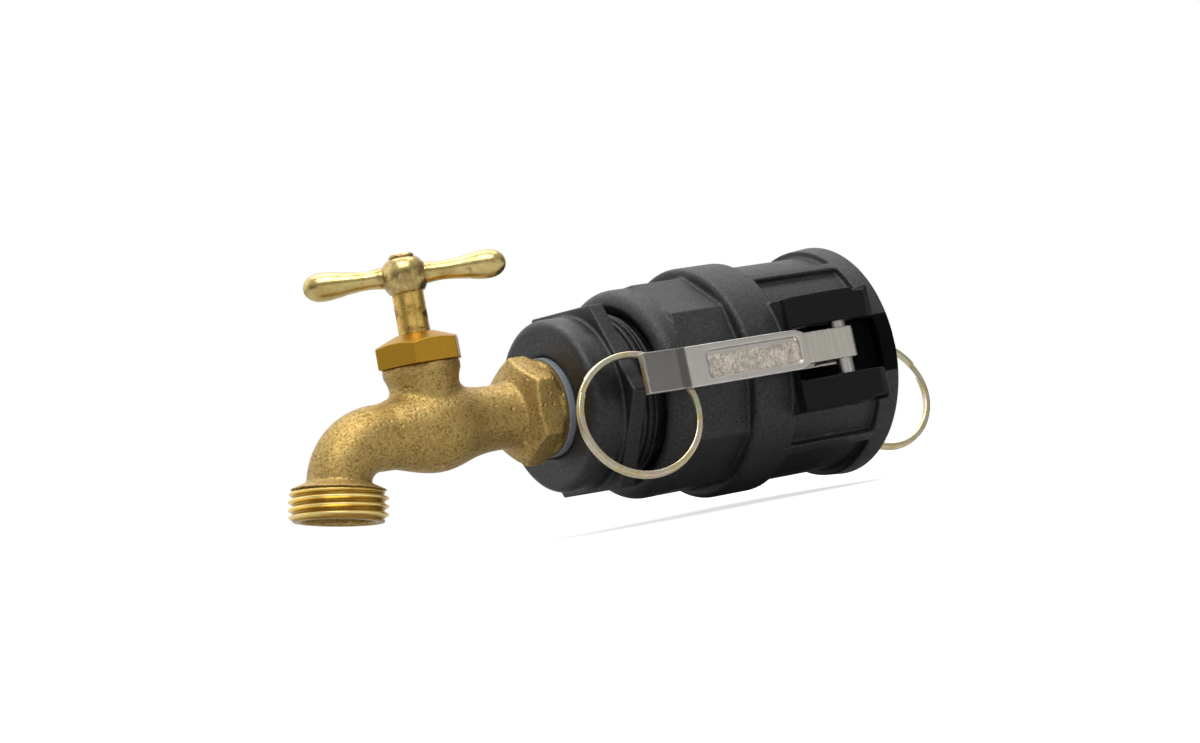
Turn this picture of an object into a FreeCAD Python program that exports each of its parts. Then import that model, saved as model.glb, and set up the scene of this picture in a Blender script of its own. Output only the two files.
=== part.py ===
"""Can spigot: a brass garden tap screwed through a reducing bushing into a cam-lock coupler.

Millimetres. The origin is the centre of the coupler's mouth. +X leaves the mouth towards the can,
so the tap is on the -X side. +Z runs up the tap's stem. -Y is the near side.
"""
import FreeCAD, Part
import math
import os

import Sketcher

App = FreeCAD
doc = App.newDocument("can_spigot")

SIZES = {
    # reducing cam-lock coupler, all measured from its mouth
    "ear_turn": 3.3,
    "coupler_length": 77.0,
    "collar_step": 3.4,
    "collar_length": 7.6,
    "collar_round": 4.2,
    "wrench_step": 2.3,
    "wrench_length": 18.2,
    "barrel_radius": 33.2,
    "barrel_round": 1.6,
    "rim_rise": 0.6,
    "rim_length": 6.6,
    "rim_round": 0.6,
    "relief_back": 36.8,
    "relief_depth": 2.0,
    "rib_low_angle": 47.0,
    "rib_high_angle": 52.6,
    "ear_relief_angle": 20.0,
    "socket_radius": 26.9,
    "socket_mouth_radius": 27.2,
    "socket_mouth_length": 14.0,
    "socket_depth": 38.5,
    "gasket_groove_radius": 27.95,
    "waterway_radius": 20.0,
    "tap_end": 51.0,
    # screwed joint between coupler and bushing
    "thread_radius": 22.9,
    "thread_taper": 0.03125,
    "thread_gap": 0.05,
    "tap_mouth_radius": 25.9,
    "tap_mouth_depth": 2.6,
    # ears that carry the levers
    "ear_half_width": 16.3,
    "ear_slot": 15.0,
    "ear_height": 41.0,
    "ear_root_height": 36.4,
    "ear_back": 38.4,
    "ear_ridge": 25.2,
    "ear_front": 14.0,
    "ear_bevel_run": 3.4,
    "ear_bevel_drop": 1.6,
    "ear_end": 9.2,
    "ear_notch_front": 12.2,
    "ear_notch_length": 5.2,
    "ear_notch_depth": 1.1,
    "ear_notch_below_pin": 3.6,
    "window_back": 34.0,
    "window_front": 5.2,
    "window_mouth_end": 12.0,
    "slot_floor": 29.4,
    # pivot pins
    "pin_radius": 2.38,
    "pin_from_mouth": 22.0,
    "pin_below_ear": 4.5,
    "pin_seat_gap": 0.02,
    "pin_bevel": 0.4,
    # cam levers, measured from the pin
    "lever_bore_gap": 0.08,
    "knuckle_radius": 3.9,
    "cam_tip_radius": 24.1,
    "cam_nose_radius": 3.3,
    "cam_nose_shift": 0.4,
    "neck_width": 8.8,
    "neck_end": 13.6,
    "plate_start": 16.4,
    "plate_front": 2.4,
    "plate_thickness": 2.3,
    "plate_width": 11.4,
    "plate_corner": 2.2,
    "bend_place": 55.0,
    "tip_place": 71.3,
    "tip_lift": 3.0,
    "tray_start": 16.0,
    "tray_end": 48.1,
    "tray_width": 7.7,
    "tray_depth": 0.9,
    "tray_corner": 1.5,
    "web_thickness": 2.6,
    "web_start": 33.5,
    "web_depth": 4.2,
    "eye_place": 56.5,
    "eye_drop": 2.7,
    "eye_half_length": 3.6,
    "eye_half_height": 2.6,
    "eye_wall": 1.4,
    "near_lever_play": 1.2,
    "far_lever_open": 178.0,
    # split pull rings
    "ring_radius": 17.25,
    "ring_wire_width": 1.7,
    "ring_wire_height": 1.1,
    # cam-lock gasket
    "gasket_outer_radius": 27.8,
    "gasket_inner_radius": 20.65,
    "gasket_thickness": 6.35,
    "gasket_end_gap": 0.05,
    # reducing bushing
    "bushing_face": 99.5,
    "bushing_collar_radius": 24.3,
    "bushing_collar_round": 2.5,
    "bushing_hex_flats": 51.4,
    "bushing_hex_front": 89.8,
    "bushing_hex_back": 85.0,
    "bushing_thread_end": 57.0,
    "bushing_waterway_radius": 11.6,
    "bushing_waterway_start": 83.0,
    "bushing_face_ring_radius": 18.06,
    "bushing_face_ring_depth": 0.3,
    "washer_seat_radius": 14.6,
    "washer_seat_depth": 0.7,
    # seal washer between tap and bushing
    "washer_outer_radius": 14.0,
    "washer_thickness": 2.2,
    # tap body
    "tail_radius": 12.9,
    "tail_length": 13.5,
    "tail_gap": 0.05,
    "flange_radius": 13.7,
    "flange_thickness": 1.6,
    "inlet_hex_flats": 26.6,
    "inlet_hex_length": 6.6,
    "inlet_hex_bevel": 3.1,
    "inlet_neck_radius": 9.1,
    "inlet_bore_radius": 6.6,
    "stem_from_mouth": 137.2,
    "belly_radius": 12.9,
    "belly_rise": -0.6,
    "belly_half_length": 14.0,
    "bonnet_radius": 9.8,
    "bonnet_waist": 0.1,
    "bonnet_fillet": 3.0,
    "bonnet_top": 17.3,
    "bonnet_flare_radius": 10.7,
    "bonnet_flare_height": 2.4,
    "elbow_from_stem": 18.2,
    "elbow_drop": 13.5,
    "elbow_outer_radius": 9.2,
    "elbow_inner_radius": 4.6,
    "elbow_end_radius": 8.6,
    "spout_tilt": 11.8,
    "spout_run": 9.7,
    "hose_thread_radius": 13.45,
    "hose_thread_length": 8.4,
    "hose_shoulder": 2.4,
    "hose_bore_radius": 9.6,
    "hose_bore_depth": 8.4,
    "seat_height": -2.0,
    "seat_radius": 4.2,
    "seat_wall": 2.5,
    "seat_chamber_radius": 5.0,
    "seat_chamber_floor": -9.5,
    "upper_chamber_radius": 7.6,
    "upper_chamber_top": 2.0,
    "stem_thread_bore": 6.95,
    "packing_box_radius": 7.8,
    "packing_box_floor": 11.6,
    # stem and what it carries
    "stem_radius": 4.35,
    "stem_thread_radius": 6.85,
    "stem_thread_top": 6.0,
    "stem_cup_height": 2.4,
    "stem_top": 46.4,
    "stem_tip_radius": 2.2,
    "stem_tip_top": 47.2,
    "stem_square": 5.6,
    "stem_square_bottom": 38.4,
    "stem_gap": 0.06,
    "seat_washer_radius": 5.9,
    "seat_washer_thickness": 2.3,
    "seat_washer_gap": 0.05,
    "screw_head_radius": 2.7,
    "screw_head_height": 1.4,
    "screw_shank_radius": 1.6,
    "screw_length": 7.4,
    # packing and nut
    "packing_thickness": 1.8,
    "follower_thickness": 0.9,
    "packing_washer_thickness": 0.6,
    "nut_flats": 22.0,
    "nut_height": 8.6,
    "nut_side_height": 5.8,
    "nut_crown_radius": 5.2,
    "nut_turn": -124.6,
    "packing_side_gap": 0.04,
    # tee handle
    "handle_turn": -33.9,
    "handle_tilt": 2.2,
    "hub_radius": 6.2,
    "hub_bottom": 37.0,
    "hub_height": 9.7,
    "handle_reach": 27.9,
    "arm_thin_radius": 2.15,
    "arm_thin_place": 8.2,
    "arm_ball_radius": 3.9,
    "arm_ball_place": 23.8,
    "cap_radius": 3.5,
    "cap_height": 1.1,
}

sheet = doc.addObject("Spreadsheet::Sheet", "Sizes")
for row, (alias, value) in enumerate(SIZES.items(), start=1):
    sheet.set("A%d" % row, alias)
    sheet.set("B%d" % row, str(value))
    sheet.setAlias("B%d" % row, alias)
doc.recompute()


def full(text):
    """Puts the sheet's name before every size in an expression."""
    words = []
    word = ""
    for letter in str(text) + " ":
        if letter.isalnum() or letter in "_.":
            word += letter
            continue
        words.append("Sizes." + word if word in SIZES else word)
        word = ""
        words.append(letter)
    return "".join(words).strip()


def number(text):
    """The value of an expression on the sheet."""
    result = sheet.evalExpression(full(text))
    return float(getattr(result, "Value", result))


def bind(thing, prop, text):
    """Sets a property from an expression on the sheet."""
    thing.setExpression(prop, full(text))


def new_body(label):
    body = doc.addObject("PartDesign::Body", label)
    body.Label = label
    return body


def base_plane(body, role):
    return next(feature for feature in body.Origin.OriginFeatures if feature.Role == role)


def new_sketch(body, role, name, offset="0"):
    """A sketch on one of the body's own planes, moved along the plane's normal by an expression."""
    sketch = body.newObject("Sketcher::SketchObject", name)
    sketch.AttachmentSupport = [(base_plane(body, role), "")]
    sketch.MapMode = "FlatFace"
    if offset != "0":
        sketch.AttachmentOffset = App.Placement(App.Vector(0, 0, number(offset)), App.Rotation())
        bind(sketch, "AttachmentOffset.Base.z", offset)
    return sketch


def tie(sketch, kind, shape, point, text):
    """Ties one coordinate of a sketch point to the sheet."""
    index = sketch.addConstraint(Sketcher.Constraint(kind, -1, 1, shape, point, number(text)))
    if any(letter.isalpha() for letter in str(text)):
        bind(sketch, "Constraints[%d]" % index, text)


def outline(sketch, corners):
    """A closed outline. A corner is (x, y) or (x, y, side, radius) when an arc leaves it."""
    first = len(sketch.Geometry)
    count = len(corners)
    spots = [App.Vector(number(corner[0]), number(corner[1]), 0) for corner in corners]
    starts = []
    for place, corner in enumerate(corners):
        here, there = spots[place], spots[(place + 1) % count]
        if len(corner) == 2:
            sketch.addGeometry(Part.LineSegment(here, there))
            starts.append((1, 2))
            continue
        side, radius = corner[2], number(corner[3])
        across = there - here
        middle = (here + there) * 0.5
        height = math.sqrt(max(radius ** 2 - (across.Length / 2) ** 2, 0))
        left = App.Vector(-across.y, across.x, 0).normalize()
        centre = middle + left * (height if side == "left" else -height)
        low, high = (here, there) if side == "left" else (there, here)
        circle = Part.Circle(centre, App.Vector(0, 0, 1), radius)
        sketch.addGeometry(Part.ArcOfCircle(circle, circle.parameter(low), circle.parameter(high)))
        starts.append((1, 2) if side == "left" else (2, 1))
    for place in range(count):
        after = (place + 1) % count
        ends = (first + place, starts[place][1], first + after, starts[after][0])
        sketch.addConstraint(Sketcher.Constraint("Coincident", *ends))
    for place, corner in enumerate(corners):
        tie(sketch, "DistanceX", first + place, starts[place][0], corner[0])
        tie(sketch, "DistanceY", first + place, starts[place][0], corner[1])
        if len(corner) > 2:
            index = sketch.addConstraint(Sketcher.Constraint("Radius", first + place, number(corner[3])))
            bind(sketch, "Constraints[%d]" % index, corner[3])


def circle(sketch, x, y, radius):
    """A circle whose centre and radius are tied to the sheet."""
    centre = App.Vector(number(x), number(y), 0)
    shape = sketch.addGeometry(Part.Circle(centre, App.Vector(0, 0, 1), number(radius)))
    index = sketch.addConstraint(Sketcher.Constraint("Radius", shape, number(radius)))
    bind(sketch, "Constraints[%d]" % index, radius)
    tie(sketch, "DistanceX", shape, 3, x)
    tie(sketch, "DistanceY", shape, 3, y)


def polygon_corners(sides, radius, start="0"):
    """Corners of a regular polygon as expressions, the first at angle start."""
    step = 360.0 / sides
    corners = []
    for place in range(sides):
        angle = "((%s) + %s) * 1 deg" % (start, step * place)
        corners.append(("(%s) * cos(%s)" % (radius, angle), "(%s) * sin(%s)" % (radius, angle)))
    return corners


def revolve(body, sketch, axis="H_Axis"):
    feature = body.newObject("PartDesign::Revolution", sketch.Name + "_turned")
    feature.Profile = sketch
    feature.ReferenceAxis = (sketch, [axis])
    feature.Angle = 360
    return feature


def groove(body, sketch, axis="H_Axis"):
    feature = body.newObject("PartDesign::Groove", sketch.Name + "_turned_out")
    feature.Profile = sketch
    feature.ReferenceAxis = (sketch, [axis])
    feature.Angle = 360
    return feature


def pad(body, sketch, length, symmetric=False, reverse=False):
    feature = body.newObject("PartDesign::Pad", sketch.Name + "_pad")
    feature.Profile = sketch
    feature.Length = number(length)
    bind(feature, "Length", length)
    if symmetric:
        feature.SideType = "Symmetric"
    feature.Reversed = reverse
    return feature


def pocket(body, sketch, length, symmetric=False, reverse=False):
    feature = body.newObject("PartDesign::Pocket", sketch.Name + "_cut")
    feature.Profile = sketch
    feature.Length = number(length)
    bind(feature, "Length", length)
    if symmetric:
        feature.SideType = "Symmetric"
    feature.Reversed = reverse
    return feature


def dress(body, kind, size, wanted):
    """A fillet or chamfer on the edges of the body so far that the test picks."""
    doc.recompute()
    last = body.Tip
    names = ["Edge%d" % (place + 1) for place, edge in enumerate(last.Shape.Edges) if wanted(edge)]
    if not names:
        raise RuntimeError("no edge to dress on " + body.Label)
    feature = body.newObject("PartDesign::" + kind, body.Name + "_" + kind)
    feature.Base = (last, names)
    prop = "Radius" if kind == "Fillet" else "Size"
    setattr(feature, prop, number(size))
    bind(feature, prop, size)
    return feature


def near(value, target, slack=0.02):
    return abs(value - target) < slack


def ring_edge(x, radius):
    """Picks round edges about the X axis at this place and radius."""
    def test(edge):
        curve = edge.Curve
        if not isinstance(curve, Part.Circle):
            return False
        centre = curve.Center
        on_axis = math.hypot(centre.y, centre.z) < 0.01
        return on_axis and near(centre.x, number(x)) and near(curve.Radius, number(radius))
    return test


def place(body, x="0", y="0", z="0", rotation=None):
    """Puts a body in the assembly, with its position tied to the sheet."""
    body.Placement = App.Placement(App.Vector(number(x), number(y), number(z)), rotation or App.Rotation())
    for letter, text in (("x", x), ("y", y), ("z", z)):
        if text != "0":
            bind(body, "Placement.Base." + letter, text)


def about(axis, text):
    return App.Rotation(App.Vector(*axis), number(text))


AXIS_X = (1, 0, 0)
AXIS_Z = (0, 0, 1)


# coupler body

def coupler_outside(body):
    sketch = new_sketch(body, "XZ_Plane", "coupler_outside")
    outline(sketch, [
        ("-coupler_length", "0"),
        ("-coupler_length", "(barrel_radius - collar_step)"),
        ("-(coupler_length - collar_length)", "(barrel_radius - collar_step)"),
        ("-(coupler_length - collar_length)", "socket_radius + 1"),
        ("-(coupler_length - collar_length - wrench_length)", "socket_radius + 1"),
        ("-(coupler_length - collar_length - wrench_length)", "barrel_radius"),
        ("-rim_length", "barrel_radius"),
        ("0", "(barrel_radius + rim_rise)"),
        ("0", "0"),
    ])
    revolve(body, sketch)
    wrench = new_sketch(body, "YZ_Plane", "wrench_section", "-(coupler_length - collar_length - wrench_length)")
    outline(wrench, polygon_corners(10, "(barrel_radius - wrench_step)"))
    pad(body, wrench, "wrench_length", reverse=True)
    dress(body, "Fillet", "collar_round", ring_edge("-coupler_length", "(barrel_radius - collar_step)"))
    front = "-(coupler_length - collar_length - wrench_length)"
    dress(body, "Fillet", "barrel_round", ring_edge(front, "barrel_radius"))
    dress(body, "Fillet", "rim_round", ring_edge("0", "(barrel_radius + rim_rise)"))


def coupler_ears(body):
    """One block on each side. The slot that follows parts it into a pair of ears."""
    for side in ("", "-"):
        sketch = new_sketch(body, "XY_Plane", "ear_side_far" if side == "" else "ear_side_near")
        outline(sketch, [
            ("-ear_back", side + "socket_radius"),
            ("-ear_back", side + "ear_root_height"),
            ("-ear_ridge", side + "ear_height"),
            ("-ear_front", side + "ear_height"),
            ("-(ear_front - ear_bevel_run)", side + "(ear_height - ear_bevel_drop)"),
            ("-ear_end", side + "barrel_radius"),
            ("-ear_end", side + "socket_radius"),
        ])
        pad(body, sketch, "2 * ear_half_width", symmetric=True)


def coupler_reliefs(body):
    """Shallow pockets between the ears and the narrow ribs, four beside ears and two across top and bottom."""
    back = "-relief_back"
    length = "relief_back - rim_length"
    outer = "barrel_radius + 3"
    floor = "(barrel_radius - relief_depth)"

    def corner(radius, angle):
        return ("(%s) * cos((%s) * 1 deg)" % (radius, angle), "(%s) * sin((%s) * 1 deg)" % (radius, angle))

    def sector(sketch, low, high):
        outline(sketch, [
            corner(floor, low) + ("left", floor),
            corner(floor, high),
            corner(outer, high) + ("right", outer),
            corner(outer, low),
        ])

    beside = new_sketch(body, "YZ_Plane", "relief_beside_ears", back)
    for start, turn in (("0", 1), ("0", -1), ("180", 1), ("180", -1)):
        low = "%s + (%s) * ear_relief_angle" % (start, turn)
        high = "%s + (%s) * rib_low_angle" % (start, turn)
        sector(beside, *((low, high) if turn == 1 else (high, low)))
    pocket(body, beside, length, reverse=True)
    across = new_sketch(body, "YZ_Plane", "relief_top_and_bottom", back)
    for start in ("0", "180"):
        sector(across, start + " + rib_high_angle", start + " + 180 - rib_high_angle")
    pocket(body, across, length, reverse=True)


def coupler_inside(body):
    """Socket, gasket groove, waterway and the tapped end."""
    face = "-coupler_length"
    groove_back = "-(socket_depth + gasket_thickness + gasket_end_gap)"
    tap = "(thread_radius + thread_gap)"
    sketch = new_sketch(body, "XZ_Plane", "coupler_inside")
    outline(sketch, [
        (face, "0"),
        (face, "tap_mouth_radius"),
        ("-(coupler_length - tap_mouth_depth)", tap + " - thread_taper * tap_mouth_depth"),
        ("-tap_end", tap + " - thread_taper * (coupler_length - tap_end)"),
        ("-tap_end", "waterway_radius"),
        (groove_back, "waterway_radius"),
        (groove_back, "gasket_groove_radius"),
        ("-(socket_depth - gasket_end_gap)", "gasket_groove_radius"),
        ("-(socket_depth - gasket_end_gap)", "socket_radius"),
        ("-socket_mouth_length", "socket_radius"),
        ("-socket_mouth_length", "socket_mouth_radius"),
        ("0", "socket_mouth_radius"),
        ("0", "0"),
    ])
    groove(body, sketch)


def coupler_slots(body):
    """The lever slot between each pair of ears: a shallow floor, then a window into the socket."""
    for side in ("", "-"):
        name = "far" if side == "" else "near"
        floor = new_sketch(body, "XY_Plane", "slot_floor_" + name)
        outline(floor, [
            ("-(ear_back - 0.3)", side + "slot_floor"),
            ("-window_front", side + "slot_floor"),
            ("-window_front", side + "(ear_height + 4)"),
            ("-(ear_back - 0.3)", side + "(ear_height + 4)"),
        ])
        pocket(body, floor, "ear_slot", symmetric=True)
        window = new_sketch(body, "XY_Plane", "slot_window_" + name)
        outline(window, [
            ("-window_back", side + "(socket_radius - 8)"),
            ("-window_mouth_end", side + "(socket_radius - 8)"),
            ("-window_mouth_end", side + "(ear_height + 4)"),
            ("-window_back", side + "(ear_height + 4)"),
        ])
        pocket(body, window, "ear_slot", symmetric=True)
        hole = new_sketch(body, "XY_Plane", "pin_hole_" + name)
        circle(hole, "-pin_from_mouth", side + "(ear_height - pin_below_ear)", "pin_radius + pin_seat_gap")
        pocket(body, hole, "2 * ear_half_width + 2", symmetric=True)
        for top in ("", "-"):
            notch = new_sketch(body, "XY_Plane", "ear_notch_%s_%s" % (name, "top" if top == "" else "bottom"),
                               top + "(ear_half_width - ear_notch_depth)")
            outline(notch, [
                ("-(ear_notch_front + ear_notch_length)", side + "((ear_height - pin_below_ear) - ear_notch_below_pin)"),
                ("-ear_notch_front", side + "((ear_height - pin_below_ear) - ear_notch_below_pin)"),
                ("-ear_notch_front", side + "(ear_height + 1)"),
                ("-(ear_notch_front + ear_notch_length)", side + "(ear_height + 1)"),
            ])
            pocket(body, notch, "ear_notch_depth + 1", reverse=(top == ""))


def make_coupler():
    body = new_body("coupler_body")
    coupler_outside(body)
    coupler_ears(body)
    coupler_reliefs(body)
    coupler_inside(body)
    coupler_slots(body)
    place(body, rotation=about(AXIS_X, "-ear_turn"))
    return body


def make_gasket():
    body = new_body("coupler_gasket")
    sketch = new_sketch(body, "XZ_Plane", "gasket_section")
    back = "-(socket_depth + gasket_thickness)"
    outline(sketch, [
        (back, "gasket_inner_radius"),
        (back, "gasket_outer_radius"),
        ("-socket_depth", "gasket_outer_radius"),
        ("-socket_depth", "gasket_inner_radius"),
    ])
    revolve(body, sketch)
    return body


# cam levers, their pins and rings

def make_pin(side):
    """side is near or far."""
    body = new_body(side + "_pivot_pin")
    sketch = new_sketch(body, "XY_Plane", side + "_pin_round", "-(ear_half_width - ear_notch_depth)")
    circle(sketch, "0", "0", "pin_radius")
    pad(body, sketch, "2 * (ear_half_width - ear_notch_depth)")
    dress(body, "Chamfer", "pin_bevel", lambda edge: isinstance(edge.Curve, Part.Circle))
    turn = about(AXIS_X, "-ear_turn")
    across = turn.multVec(App.Vector(0, number("(ear_height - pin_below_ear)") * (1 if side == "far" else -1), 0))
    body.Placement = App.Placement(App.Vector(-number("pin_from_mouth"), across.y, across.z), turn)
    return body


def lever_frame(side):
    """Where the lever's own frame lies: its origin on the pin, +Y outwards, the handle towards -X."""
    turn = about(AXIS_X, "-ear_turn")
    if side == "near":
        turn = turn.multiply(App.Rotation(App.Vector(*AXIS_X), 180))
    play = -number("near_lever_play") if side == "near" else 0
    across = turn.multVec(App.Vector(0, number("(ear_height - pin_below_ear)"), play))
    opened = number("far_lever_open") if side == "far" else 0
    swing = App.Rotation(App.Vector(*AXIS_Z), -opened)
    return App.Placement(App.Vector(-number("pin_from_mouth"), across.y, across.z), turn.multiply(swing))


def make_lever(side):
    """Cast lever: cam on the pin, narrow neck between the ears, wide handle, lifted tip, web with an eye."""
    body = new_body(side + "_cam_lever")
    profile = new_sketch(body, "XY_Plane", side + "_lever_side")
    nose_bottom = "-((ear_height - pin_below_ear) - cam_tip_radius)"
    nose_centre = "-((ear_height - pin_below_ear) - cam_tip_radius - cam_nose_radius)"
    outline(profile, [
        ("-tip_place", "plate_front + tip_lift"),
        ("-tip_place", "plate_front + tip_lift - plate_thickness"),
        ("-bend_place", "plate_front - plate_thickness"),
        ("-(knuckle_radius + 4)", "plate_front - plate_thickness"),
        ("-knuckle_radius", "-knuckle_radius"),
        ("cam_nose_shift - cam_nose_radius", nose_centre, "left", "cam_nose_radius"),
        ("cam_nose_shift", nose_bottom, "left", "cam_nose_radius"),
        ("cam_nose_shift + cam_nose_radius", nose_centre),
        ("knuckle_radius", "0"),
        ("knuckle_radius - 0.6", "knuckle_radius - 1.6"),
        ("knuckle_radius - 2.2", "knuckle_radius"),
        ("-neck_end", "plate_front"),
        ("-bend_place", "plate_front"),
    ])
    pad(body, profile, "plate_width", symmetric=True)
    sides = new_sketch(body, "XZ_Plane", side + "_neck_sides", "-(knuckle_radius + 3)")
    for hand in ("", "-"):
        outline(sides, [
            ("-plate_start", hand + "(plate_width / 2 + 1)"),
            ("-plate_start", hand + "(plate_width / 2)"),
            ("-neck_end", hand + "(neck_width / 2)"),
            ("knuckle_radius + 2", hand + "(neck_width / 2)"),
            ("knuckle_radius + 2", hand + "(plate_width / 2 + 1)"),
        ])
    pocket(body, sides, "knuckle_radius + 3 + (ear_height - pin_below_ear)", reverse=True)
    web = new_sketch(body, "XY_Plane", side + "_lever_web")
    back = "plate_front - plate_thickness"
    eye_low = "-eye_drop - eye_half_height - eye_wall"
    eye_wide = "eye_half_length - eye_half_height"
    outline(web, [
        ("-web_start", back + " + 0.4"),
        ("-(eye_place + eye_half_length + eye_wall)", back + " + 0.4"),
        ("-(eye_place + eye_half_length + eye_wall)", "-eye_drop", "left", "eye_half_height + eye_wall"),
        ("-(eye_place + eye_wide)".replace("eye_wide", "(" + eye_wide + ")"), eye_low),
        ("-(eye_place - eye_wide)".replace("eye_wide", "(" + eye_wide + ")"), eye_low),
        ("-(eye_place - eye_half_length - eye_wall)", "-web_depth"),
        ("-(web_start + web_depth)", "-web_depth"),
    ])
    pad(body, web, "web_thickness", symmetric=True)
    eye = new_sketch(body, "XY_Plane", side + "_ring_eye")
    left = "-(eye_place + " + eye_wide + ")"
    right = "-(eye_place - (" + eye_wide + "))"
    up = "-eye_drop + eye_half_height"
    low = "-eye_drop - eye_half_height"
    outline(eye, [
        (left, up, "left", "eye_half_height"),
        ("-(eye_place + eye_half_length)", "-eye_drop", "left", "eye_half_height"),
        (left, low),
        (right, low, "left", "eye_half_height"),
        ("-(eye_place - eye_half_length)", "-eye_drop", "left", "eye_half_height"),
        (right, up),
    ])
    pocket(body, eye, "web_thickness + 1", symmetric=True)
    bore = new_sketch(body, "XY_Plane", side + "_lever_bore")
    circle(bore, "0", "0", "pin_radius + lever_bore_gap")
    pocket(body, bore, "plate_width + 1", symmetric=True)
    tray = new_sketch(body, "XZ_Plane", side + "_lever_tray", "-plate_front")
    outline(tray, [
        ("-tray_end", "-tray_width / 2 + tray_corner", "left", "tray_corner"),
        ("-tray_end + tray_corner", "-tray_width / 2"),
        ("-tray_start - tray_corner", "-tray_width / 2", "left", "tray_corner"),
        ("-tray_start", "-tray_width / 2 + tray_corner"),
        ("-tray_start", "tray_width / 2 - tray_corner", "left", "tray_corner"),
        ("-tray_start - tray_corner", "tray_width / 2"),
        ("-tray_end + tray_corner", "tray_width / 2", "left", "tray_corner"),
        ("-tray_end", "tray_width / 2 - tray_corner"),
    ])
    pocket(body, tray, "tray_depth", reverse=True)
    body.Placement = lever_frame(side)
    return body


# in the lever's own frame: where the wire passes through the eye, the way from there to the ring's centre,
# and the way the wire runs at that place
RING_LIES = {
    "near": ((0.9, -0.4, 0), (-0.815, -0.048, 0.577), (0.560, 0.261, 0.786)),
    "far": ((-0.3, -0.4, 0), (-0.783, 0.189, -0.59), (-0.612, -0.086, 0.786)),
}


def ring_frame(side):
    """Where a ring's own frame lies: its origin at the ring's centre, its Z along the ring's axis."""
    shift, hang, along = (App.Vector(*values) for values in RING_LIES[side])
    eye = App.Vector(-number("eye_place"), -number("eye_drop"), 0) + shift
    hang.normalize()
    along = (along - hang * along.dot(hang)).normalize()
    turn = App.Rotation(hang, along, hang.cross(along), "XYZ")
    centre = eye + hang * number("ring_radius")
    return lever_frame(side).multiply(App.Placement(centre, turn))


def make_ring(side):
    """Two turns of flattened wire, side by side."""
    body = new_body(side + "_pull_ring")
    sketch = new_sketch(body, "XZ_Plane", side + "_ring_section")
    inner = "ring_radius - ring_wire_width / 2"
    outer = "ring_radius + ring_wire_width / 2"
    quarter = "ring_wire_height / 4"
    outline(sketch, [
        (inner, "-ring_wire_height + " + quarter),
        (inner + " + " + quarter, "-ring_wire_height"),
        (outer + " - " + quarter, "-ring_wire_height"),
        (outer, "-ring_wire_height + " + quarter),
        (outer, "-" + quarter),
        (outer + " - " + quarter, "0"),
        (outer, quarter),
        (outer, "ring_wire_height - " + quarter),
        (outer + " - " + quarter, "ring_wire_height"),
        (inner + " + " + quarter, "ring_wire_height"),
        (inner, "ring_wire_height - " + quarter),
        (inner, quarter),
        (inner + " + " + quarter, "0"),
        (inner, "-" + quarter),
    ])
    revolve(body, sketch, "V_Axis")
    body.Placement = ring_frame(side)
    return body


# reducing bushing and seal washer

def make_bushing():
    body = new_body("reducing_bushing")
    face = "-bushing_face"
    sketch = new_sketch(body, "XZ_Plane", "bushing_outside")
    root = "thread_radius"
    outline(sketch, [
        (face, "0"),
        (face, "bushing_collar_radius"),
        ("-bushing_hex_back", "bushing_collar_radius"),
        ("-bushing_hex_back", root + " + thread_taper * (bushing_hex_back - coupler_length)"),
        ("-bushing_thread_end", root + " - thread_taper * (coupler_length - bushing_thread_end)"),
        ("-bushing_thread_end", "0"),
    ])
    revolve(body, sketch)
    hexagon = new_sketch(body, "YZ_Plane", "bushing_hexagon", "-bushing_hex_back")
    outline(hexagon, polygon_corners(6, "bushing_hex_flats / 2 / cos(30 deg)"))
    pad(body, hexagon, "bushing_hex_front - bushing_hex_back", reverse=True)
    dress(body, "Fillet", "bushing_collar_round", ring_edge(face, "bushing_collar_radius"))
    inside = new_sketch(body, "XZ_Plane", "bushing_inside")
    tap_floor = "-(bushing_face - washer_seat_depth)"
    outline(inside, [
        (face, "0"),
        (face, "washer_seat_radius"),
        (tap_floor, "washer_seat_radius"),
        (tap_floor, "tail_radius + tail_gap"),
        ("-bushing_waterway_start", "tail_radius + tail_gap"),
        ("-bushing_waterway_start", "bushing_waterway_radius"),
        ("-bushing_thread_end", "bushing_waterway_radius"),
        ("-bushing_thread_end", "0"),
    ])
    groove(body, inside)
    ring = new_sketch(body, "XZ_Plane", "bushing_face_ring")
    outline(ring, [
        (face, "bushing_face_ring_radius - 0.25"),
        (face, "bushing_face_ring_radius + 0.25"),
        ("-(bushing_face - bushing_face_ring_depth)", "bushing_face_ring_radius"),
    ])
    groove(body, ring)
    return body


def make_washer():
    body = new_body("inlet_seal_washer")
    sketch = new_sketch(body, "XZ_Plane", "washer_section")
    inner_face = "-(bushing_face - washer_seat_depth)"
    outer_face = "-(bushing_face - washer_seat_depth + washer_thickness)"
    outline(sketch, [
        (outer_face, "tail_radius + tail_gap"),
        (outer_face, "washer_outer_radius"),
        (inner_face, "washer_outer_radius"),
        (inner_face, "tail_radius + tail_gap"),
    ])
    revolve(body, sketch)
    return body


# tap body

def turned(points, axis):
    """A solid turned from a closed line of points about an axis given as a base point and a direction."""
    wire = Part.makePolygon([App.Vector(*point) for point in points + points[:1]])
    return Part.Face(wire).revolve(App.Vector(*axis[0]), App.Vector(*axis[1]), 360)


def smooth_turned(points, ends, axis):
    """A solid turned from a smooth curve through points, closed through the end points."""
    curve = Part.BSplineCurve()
    curve.interpolate([App.Vector(*point) for point in points])
    edges = [curve.toShape()]
    path = [points[-1]] + ends + [points[0]]
    for here, there in zip(path, path[1:]):
        edges.append(Part.makeLine(App.Vector(*here), App.Vector(*there)))
    return Part.Face(Part.Wire(edges)).revolve(App.Vector(*axis[0]), App.Vector(*axis[1]), 360)


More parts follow.
